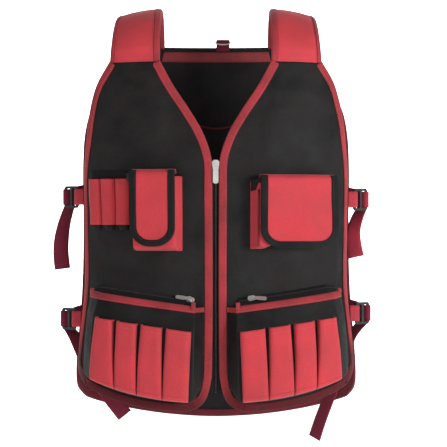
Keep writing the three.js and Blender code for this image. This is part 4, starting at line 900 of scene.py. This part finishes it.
def pouch_mouth(share):
    return POUCH_TOP - POUCH_TOP_RISE * share


def slot_mouth(share):
    return SLOT_TOP - SLOT_TOP_RISE * share


def slot_foot(share):
    return front_hem(pouch_around(share)) - SLOT_BOTTOM_GAP + SLOT_FOOT_DROP - SLOT_FOOT_RISE * share


def pouch_point(side, row, share, inset=0.0):
    mouth, foot = slot_mouth(share), slot_foot(share)
    lines = [pouch_mouth(share), mouth, (mouth + foot) / 2, foot,
             front_hem(pouch_around(share)) - POUCH_HEM_GAP]
    step = np.clip(row.astype(int), 0, 3)
    t = row - step
    down = np.choose(step, lines[:-1]) * (1 - t) + np.choose(step, lines[1:]) * t
    height = (POUCH_DEPTH * np.interp(row, *POUCH_RISE.T) - inset) * pouch_column(share)
    cut = (inset + POUCH_CORNER * pouch_column(share, 2)) * ease(row, 2.6, 3.0)
    return on_front(side * pouch_around(share, inset), down - cut, np.maximum(height, CLOTH + GAP))


def build_pouches():
    rows = np.concatenate([np.linspace(0, 1, 10)[:-1], np.linspace(1, 3, 26)[:-1], np.linspace(3, 4, 14)])
    shares = np.unique(np.concatenate([
        np.linspace(0, 0.12, 20), np.linspace(0.12, 0.86, 60), np.linspace(0.86, 1, 20)]))
    r, s = np.meshgrid(rows, shares, indexing="ij")
    for name, side in SIDES.items():
        outer, inner = pouch_point(side, r, s), pouch_point(side, r, s, POCKET_CLOTH)
        slab(f"bellows_pouch_{name}", outer, inner, "black", [f"lower_pouch_{name}"])
        build_slots(name, side)
        build_mouth(name, side)


def pouch_face(side, share, down, lift):
    top, low = slot_mouth(share), slot_foot(share)
    middle = (top + low) / 2
    rise = np.where(down < middle, 0.95 + 0.05 * (down - top) / (middle - top),
                    1 - 0.07 * (down - middle) / (low - middle))
    return on_front(side * pouch_around(share), down, POUCH_DEPTH * rise + lift)


def build_slots(name, side):
    rows = np.concatenate([np.linspace(0, 0.9, 36), np.linspace(0.9, 1, 12)[1:]])
    angle = np.linspace(0, math.pi, 44)
    d, a = np.meshgrid(rows, arch(angle, 0.6), indexing="ij")
    rise = np.sin(angle) ** 0.42 * np.interp(d, [0, 0.48, 0.92, 0.975, 1], [1, 0.8, 0.62, 0.45, 0.02])
    gap = SLOT_WEDGE / POUCH_WIDTH / 2 * (1 - d) + GAP / POUCH_WIDTH
    seams = [(1, slice(7, -7)), (3, slice(7, -7)), (len(rows) - 9, slice(5, -5))]
    runs = []
    for i in range(4):
        dent = 1 - 0.1 * np.exp(-((a - 0.5) / 0.3) ** 2) * (1 - d) * (0.6 + 0.4 * math.sin(i * 2.2 + side))

        def skin(inset):
            start, end = [SLOT_MOUTHS[k] + (SLOT_FEET[k] - SLOT_MOUTHS[k]) * d for k in (i, i + 1)]
            edge = gap + inset / POUCH_WIDTH
            share = start + edge + (end - start - 2 * edge) * a
            down = slot_mouth(share) + (slot_foot(share) - slot_mouth(share)) * d - inset * ease(d, 0.9, 1)
            lift = GAP + (SLOT_RISE - GAP - inset) * rise * dent
            return pouch_face(side, share, down, np.maximum(lift, GAP))
        outer, inner = skin(0), skin(POCKET_CLOTH)
        slab(f"slot_sleeve_{name}_{i + 1}", outer, inner, "red", [f"tool_slot_{name}_{i + 1}"])
        normal = unit(outer - skin(1.0))
        runs += [(outer[seam] + normal[seam] * 0.1, normal[seam]) for seam in seams]
    stitches(f"slot_stitches_{name}", runs, "red_thread")


def build_mouth(name, side):
    shares = np.linspace(0.065, 0.97, 90)
    column = pouch_column(shares)

    def spot(drop, inset, part=1.0):
        slope = (0.95 * POUCH_DEPTH - POUCH_MOUTH) / (slot_mouth(shares) - pouch_mouth(shares))
        high = POUCH_MOUTH + slope * np.maximum(drop, 0)
        return on_front(side * pouch_around(shares, inset), pouch_mouth(shares) + drop,
                        np.maximum((high - inset) * column * part, CLOTH + GAP))
    out, half = GAP + EDGING, PIPING_TAPE_WIDTH / 2
    ring = [(PIPING_TAPE_WIDTH, -out), (6, -out - 0.2), (2, -out - 0.2), (-out * 0.6, -out * 0.7),
            (-out, POCKET_CLOTH / 2), (-out * 0.6, POCKET_CLOTH + out * 0.8), (half, POCKET_CLOTH + out),
            (half, POCKET_CLOTH + GAP), (-GAP, POCKET_CLOTH + GAP), (-GAP, -GAP), (PIPING_TAPE_WIDTH, -GAP)]
    sections = np.stack([spot(drop, inset) for drop, inset in ring], axis=1)
    tube(f"pouch_tape_{name}", sections, "red_edge", [f"pouch_piping_{name}"])
    line, up = [spot(PIPING_TAPE_WIDTH - PIPING_SEAM, -out - lift) for lift in (0.25, 1.25)]
    stitches(f"pouch_tape_stitches_{name}", [(line, unit(up - line))], "red_thread")

    t, d = np.meshgrid(np.linspace(0, 1, 14), np.linspace(0, 1, 6))
    around = TIE_START + TIE_LENGTH * t
    rise = (POUCH_MOUTH + 1.2) * pouch_column((around - POUCH_INSIDE) / POUCH_WIDTH)
    lift = np.maximum(CLOTH + GAP + EDGING + 0.4, rise) + 0.9
    front_patch(f"pouch_tie_{name}", side * around, pouch_mouth(0.06) + 0.5 + 7.5 * d, lift, 0.9, 0, "red_edge")
    t, d = np.meshgrid(np.linspace(-1, 1, 7), np.linspace(0, 1, 12))
    for end, share, tall in (("inner", 0.075, 13.0), ("outer", 0.955, 9.0)):
        around, down = pouch_around(share) + 3.2 * t, pouch_mouth(share) + tall * (d - 0.55)
        lift = (POUCH_MOUTH + 1.9) * pouch_column(share) + 1.4 * np.sin(math.pi * d) - 0.5 * t ** 2
        front_patch(f"pouch_tab_{end}_{name}", side * around, down, lift, 0.9, -0.4, "red_edge")

    behind = POCKET_CLOTH + EDGING + 3 * GAP
    profile = [(0, 13), (0.3, 9.6), (0.4, 9.9), (0.62, 7.9), (0.72, 4.8), (1, 1.4)]
    upper, lower = [np.stack([spot(thick - rise * column, behind, at) for at, rise in profile], axis=1)
                    for thick in (0, 0.44 * ZIP_CHAIN)]
    slab(f"pocket_zip_cloth_{name}", upper, lower, "black_edge", [f"pocket_zip_{name}"])

    front, rear = [spot(-rise * column, behind, at) for at, rise in (profile[3], profile[2])]
    centre, wide = (front + rear) / 2, unit(front - rear)
    off = unit(np.cross(tangents(centre), wide))
    off = off * np.sign(off[:, 2:3])
    middle = len(centre) // 2
    line, key = centre + off * 0.4, np.linspace(0, 1, len(centre))
    coil_teeth(f"pocket_zip_teeth_{name}", lambda t: np.array([np.interp(t, key, column) for column in line.T]),
               wide[middle], off[middle], run_lengths(centre)[-1], 2.0, 0.7)


# Side straps: name, side, height, length of the loose end, share of a quarter turn that it twists, and its
# route from the buckle as shares of its length outwards, backwards and down
SIDE_STRAPS = [
    ("upper_right", -1, 288, 108, 1.0, [
        (0.07, 0.02, 0.21), (0.11, 0.03, 0.39), (0.13, 0.02, 0.56), (0.13, 0, 0.74), (0.1, -0.03, 0.98)]),
    ("upper_left", 1, 292, 85, 0.9, [
        (-0.1, 0.02, 0.22), (-0.16, 0.03, 0.45), (-0.15, 0.03, 0.7), (-0.1, 0, 0.96)]),
    ("lower_right", -1, 481, 179, 0.9, [
        (-0.07, -0.02, 0.1), (-0.17, -0.02, 0.3), (-0.32, 0.02, 0.55), (-0.54, 0.05, 0.84)]),
    ("lower_left", 1, 472, 211, 0.2, [
        (-0.1, -0.01, 0.12), (-0.15, -0.01, 0.28), (-0.23, 0.02, 0.5), (-0.32, 0.05, 0.74),
        (-0.38, 0.08, 0.93)]),
]
BACK_STRAP_RISE, STRAP_SEAM, STRAP_RELEASE = 9.0, 18.0, 4.0


def smooth_path(points, count=60):
    """Catmull-Rom curve through points, at even parameters."""
    p = np.array(points, float)
    p = np.concatenate([[2 * p[0] - p[1]], p, [2 * p[-1] - p[-2]]])
    out = []
    for u in np.linspace(0, len(p) - 3, count):
        i = min(int(u), len(p) - 4)
        t = u - i
        a, b, c, d = p[i:i + 4]
        out.append(0.5 * (2 * b + (c - a) * t + (2 * a - 5 * b + 4 * c - d) * t ** 2
                          + (3 * b - a - 3 * c + d) * t ** 3))
    return np.array(out)


def sewn(sheet, row, edge, girth, lift, down):
    """Points of a strap at its seam under a panel, at its middle and where it leaves the edge."""
    points = []
    for inside in (STRAP_SEAM, STRAP_SEAM / 2, -STRAP_RELEASE):
        x, y, _ = sheet.at(row, edge * (1 - inside / girth), lift)[0]
        points.append(np.array([x, y, -down]))
    return points


def build_side_straps():
    up = np.array([0.0, 0, 1])
    angle = math.radians(BUCKLE_ANGLE)
    loop_radius = BUCKLE_THICKNESS / 2 + WEBBING / 2 + 2.5 * GAP
    far_loop = math.hypot(BUCKLE_BAR, BUCKLE_THICKNESS) / 2 + WEBBING / 2 + 2 * GAP
    bar_at = BUCKLE_LENGTH / 2 - BUCKLE_BAR / 2
    under = -BEHIND_EDGING - WEBBING / 2
    bend = WEBBING_WIDTH / 2 + 2 * GAP
    for name, side, down, tail, twist, route in SIDE_STRAPS:
        sheet = fronts["right" if side < 0 else "left"]
        row = (down - FRONT_TOP) / (FRONT_LENGTH - FRONT_HEM_RISE - FRONT_TOP)
        edge = sheet.place(np.array(row), np.array(1.0))
        edge[2] = -down
        along = np.array([side * math.cos(angle), math.sin(angle), 0])
        out = np.array([side * math.sin(angle), -math.cos(angle), 0])
        centre = edge + along * BUCKLE_REACH

        def local(far, lift, rise=0.0):
            return centre + along * far + out * lift + up * rise

        def bar(middle, start, end, radius):
            return [local(middle + radius * math.cos(t), radius * math.sin(t))
                    for t in np.radians(np.linspace(start, end, 13))]
        span = float(outer_edge(row) - inner_edge(row)) * FRONT_GIRTH
        line = [*sewn(sheet, row, 1, span, under - 3 * GAP, down), local(-20, -loop_radius),
                local(-bar_at - 1, -loop_radius), *bar(1.4 - bar_at, -90, 90, loop_radius),
                local(-bar_at - 4, loop_radius - 0.6), local(-bar_at - 8, 0.2), local(-bar_at - 12, -1.2)]
        ribbon(f"buckle_web_{name}", line, up, WEBBING_WIDTH, "red_web", [f"side_strap_front_{name}"])

        # The rear strap runs round the far bar, bends down and hangs
        down -= BACK_STRAP_RISE
        row, _ = on_back_sheet(BACK_GIRTH * float(back_edge(0.5)), down)
        girth = float(back_edge(row)) * BACK_GIRTH
        row = float((down - BACK_TOP) / (back_hem(girth) - BACK_TOP))
        line = [*sewn(back, row, side, girth, under - 2 * GAP, down),
                local(bar_at - 2, -22, BACK_STRAP_RISE * 0.55), local(bar_at - 5.4, -9, BACK_STRAP_RISE * 0.15),
                *bar(bar_at, 180, 0, far_loop)]
        across = [up] * len(line)
        for t in np.linspace(0, math.pi / 2, 9)[1:]:
            line.append(local(bar_at + far_loop, -1 - bend * math.sin(t), -bend * (1 - math.cos(t))))
            across.append(up * math.cos(t) - out * math.sin(t))
        start, start_wide = line[-1], across[-1]
        path = smooth_path([start] + [start + np.array([side * o, b, -d]) * tail for o, b, d in route])
        heading = tangents(path)
        for k in range(3, len(path), 3):
            turned = k / (len(path) - 1) * twist
            wide = start_wide * (1 - turned) + np.array([-side, 0.0, 0]) * turned
            line.append(path[k])
            across.append(unit(wide - heading[k] * (wide @ heading[k])))
        # Painted shade: the tails take shaded copies of the red webbing, the upper left one less dark.
        cloth = "mid_web" if name == "upper_left" else "dark_web"
        strap = ribbon(f"tail_web_{name}", line, across, WEBBING_WIDTH, cloth, [f"side_strap_back_{name}"])
        end_stitches(f"tail_stitches_{name}", strap, -4, 10.5, (1, -1))


def dress_hard_nodes():
    """Carried-over pieces keep their shape and get rounded edges and a moulded or plated finish."""
    zips = [f"pocket_{kind}_{side}" for kind in ("slider", "pull") for side in SIDES]
    finishes = [("metal", ["hang_ring", "main_zip_slider", "main_zip_pull", *zips], 0.22, 2),
                ("plastic", [f"side_buckle_{entry[0]}" for entry in SIDE_STRAPS], 0.6, 3)]
    for finish, members, edge, segments in finishes:
        for member in members:
            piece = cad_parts[member]
            piece.data.materials.clear()
            piece.data.materials.append(materials[finish])
            is_round = member == "hang_ring"
            for polygon in piece.data.polygons:
                polygon.use_smooth = is_round
            if not is_round:
                bevel = piece.modifiers.new("edges", "BEVEL")
                bevel.width, bevel.segments = edge * MM, segments
                bevel.limit_method, bevel.angle_limit = "ANGLE", math.radians(35)


# Camera, floor and light, in metres
CAMERA_AT, LENS = (0.012, -2.7, -0.33), 135.8
FLOOR_HALF, FLOOR_FRONT, FLOOR_REAR, FLOOR_LEVEL, WALL_TOP, WALL_BEND = 8, -8, 5.4, -0.8, 8.0, 1.2
# Name, place, the point it faces, width and watts
LIGHTS = [
    ("key", (2.2, -2.3, 0.0), (0.05, 0, -0.36), 1.1, 66), ("fill", (-1.1, -2.9, -0.1), (0, 0, -0.35), 1.5, 7),
    ("rear", (-1.0, 2.4, 0.3), (0, 0, -0.3), 1.5, 8), ("sweep", (0, 3.9, 2.2), (0, 6.4, 0.2), 4.0, 240)]


def build_floor():
    bend = [(FLOOR_REAR + WALL_BEND * math.sin(t), FLOOR_LEVEL + WALL_BEND * (1 - math.cos(t)))
            for t in np.linspace(0.1, math.pi / 2, 12)]
    profile = [(FLOOR_FRONT, FLOOR_LEVEL), (FLOOR_REAR, FLOOR_LEVEL), *bend, (FLOOR_REAR + WALL_BEND, WALL_TOP)]
    verts = [(x, y, z) for y, z in profile for x in (-FLOOR_HALF, FLOOR_HALF)]
    faces = [(i, i + 1, i + 3, i + 2) for i in range(0, len(verts) - 2, 2)]
    mesh = bpy.data.meshes.new("floor")
    mesh.from_pydata(verts, [], faces)
    mesh.polygons.foreach_set("use_smooth", [True] * len(faces))
    pale = Nodes("pale floor")
    pale.feed(pale.shader, {"Base Color": (0.93, 0.93, 0.93, 1), "Roughness": 0.9,
                            "Emission Color": (1, 1, 1, 1), "Emission Strength": 0.6})
    mesh.materials.append(pale.material)
    floor = link("floor", mesh)


def build_stage():
    lens = bpy.data.cameras.new("camera")
    lens.lens, lens.sensor_width, lens.sensor_fit, lens.clip_end = LENS, 36.0, "HORIZONTAL", 50
    camera = link("camera", lens)
    camera.location, camera.rotation_euler = CAMERA_AT, (math.pi / 2, 0, 0)
    bpy.context.scene.camera = camera
    build_floor()
    for name, at, aim, size, power in LIGHTS:
        light = bpy.data.lights.new(name, "AREA")
        light.shape, light.size, light.energy = "DISK", size, power
        lamp = link(name, light)
        lamp.location = at
        lamp.rotation_euler = (Vector(aim) - Vector(at)).to_track_quat("-Z", "Y").to_euler()
    world = bpy.data.worlds.new("studio")
    world.use_nodes = True
    background = world.node_tree.nodes["Background"].inputs
    background["Color"].default_value, background["Strength"].default_value = (1, 1, 1, 1), 0.4
    bpy.context.scene.world = world
    bpy.context.scene.view_settings.view_transform = "Standard"


build_stage()
build_panels()
build_bindings()
build_straps()
build_back_neck()
build_main_zip()
build_pen_loops()
build_flap_pocket("phone", PHONE)
build_flap_pocket("chest", CHEST)
build_pouches()
build_side_straps()
dress_hard_nodes()
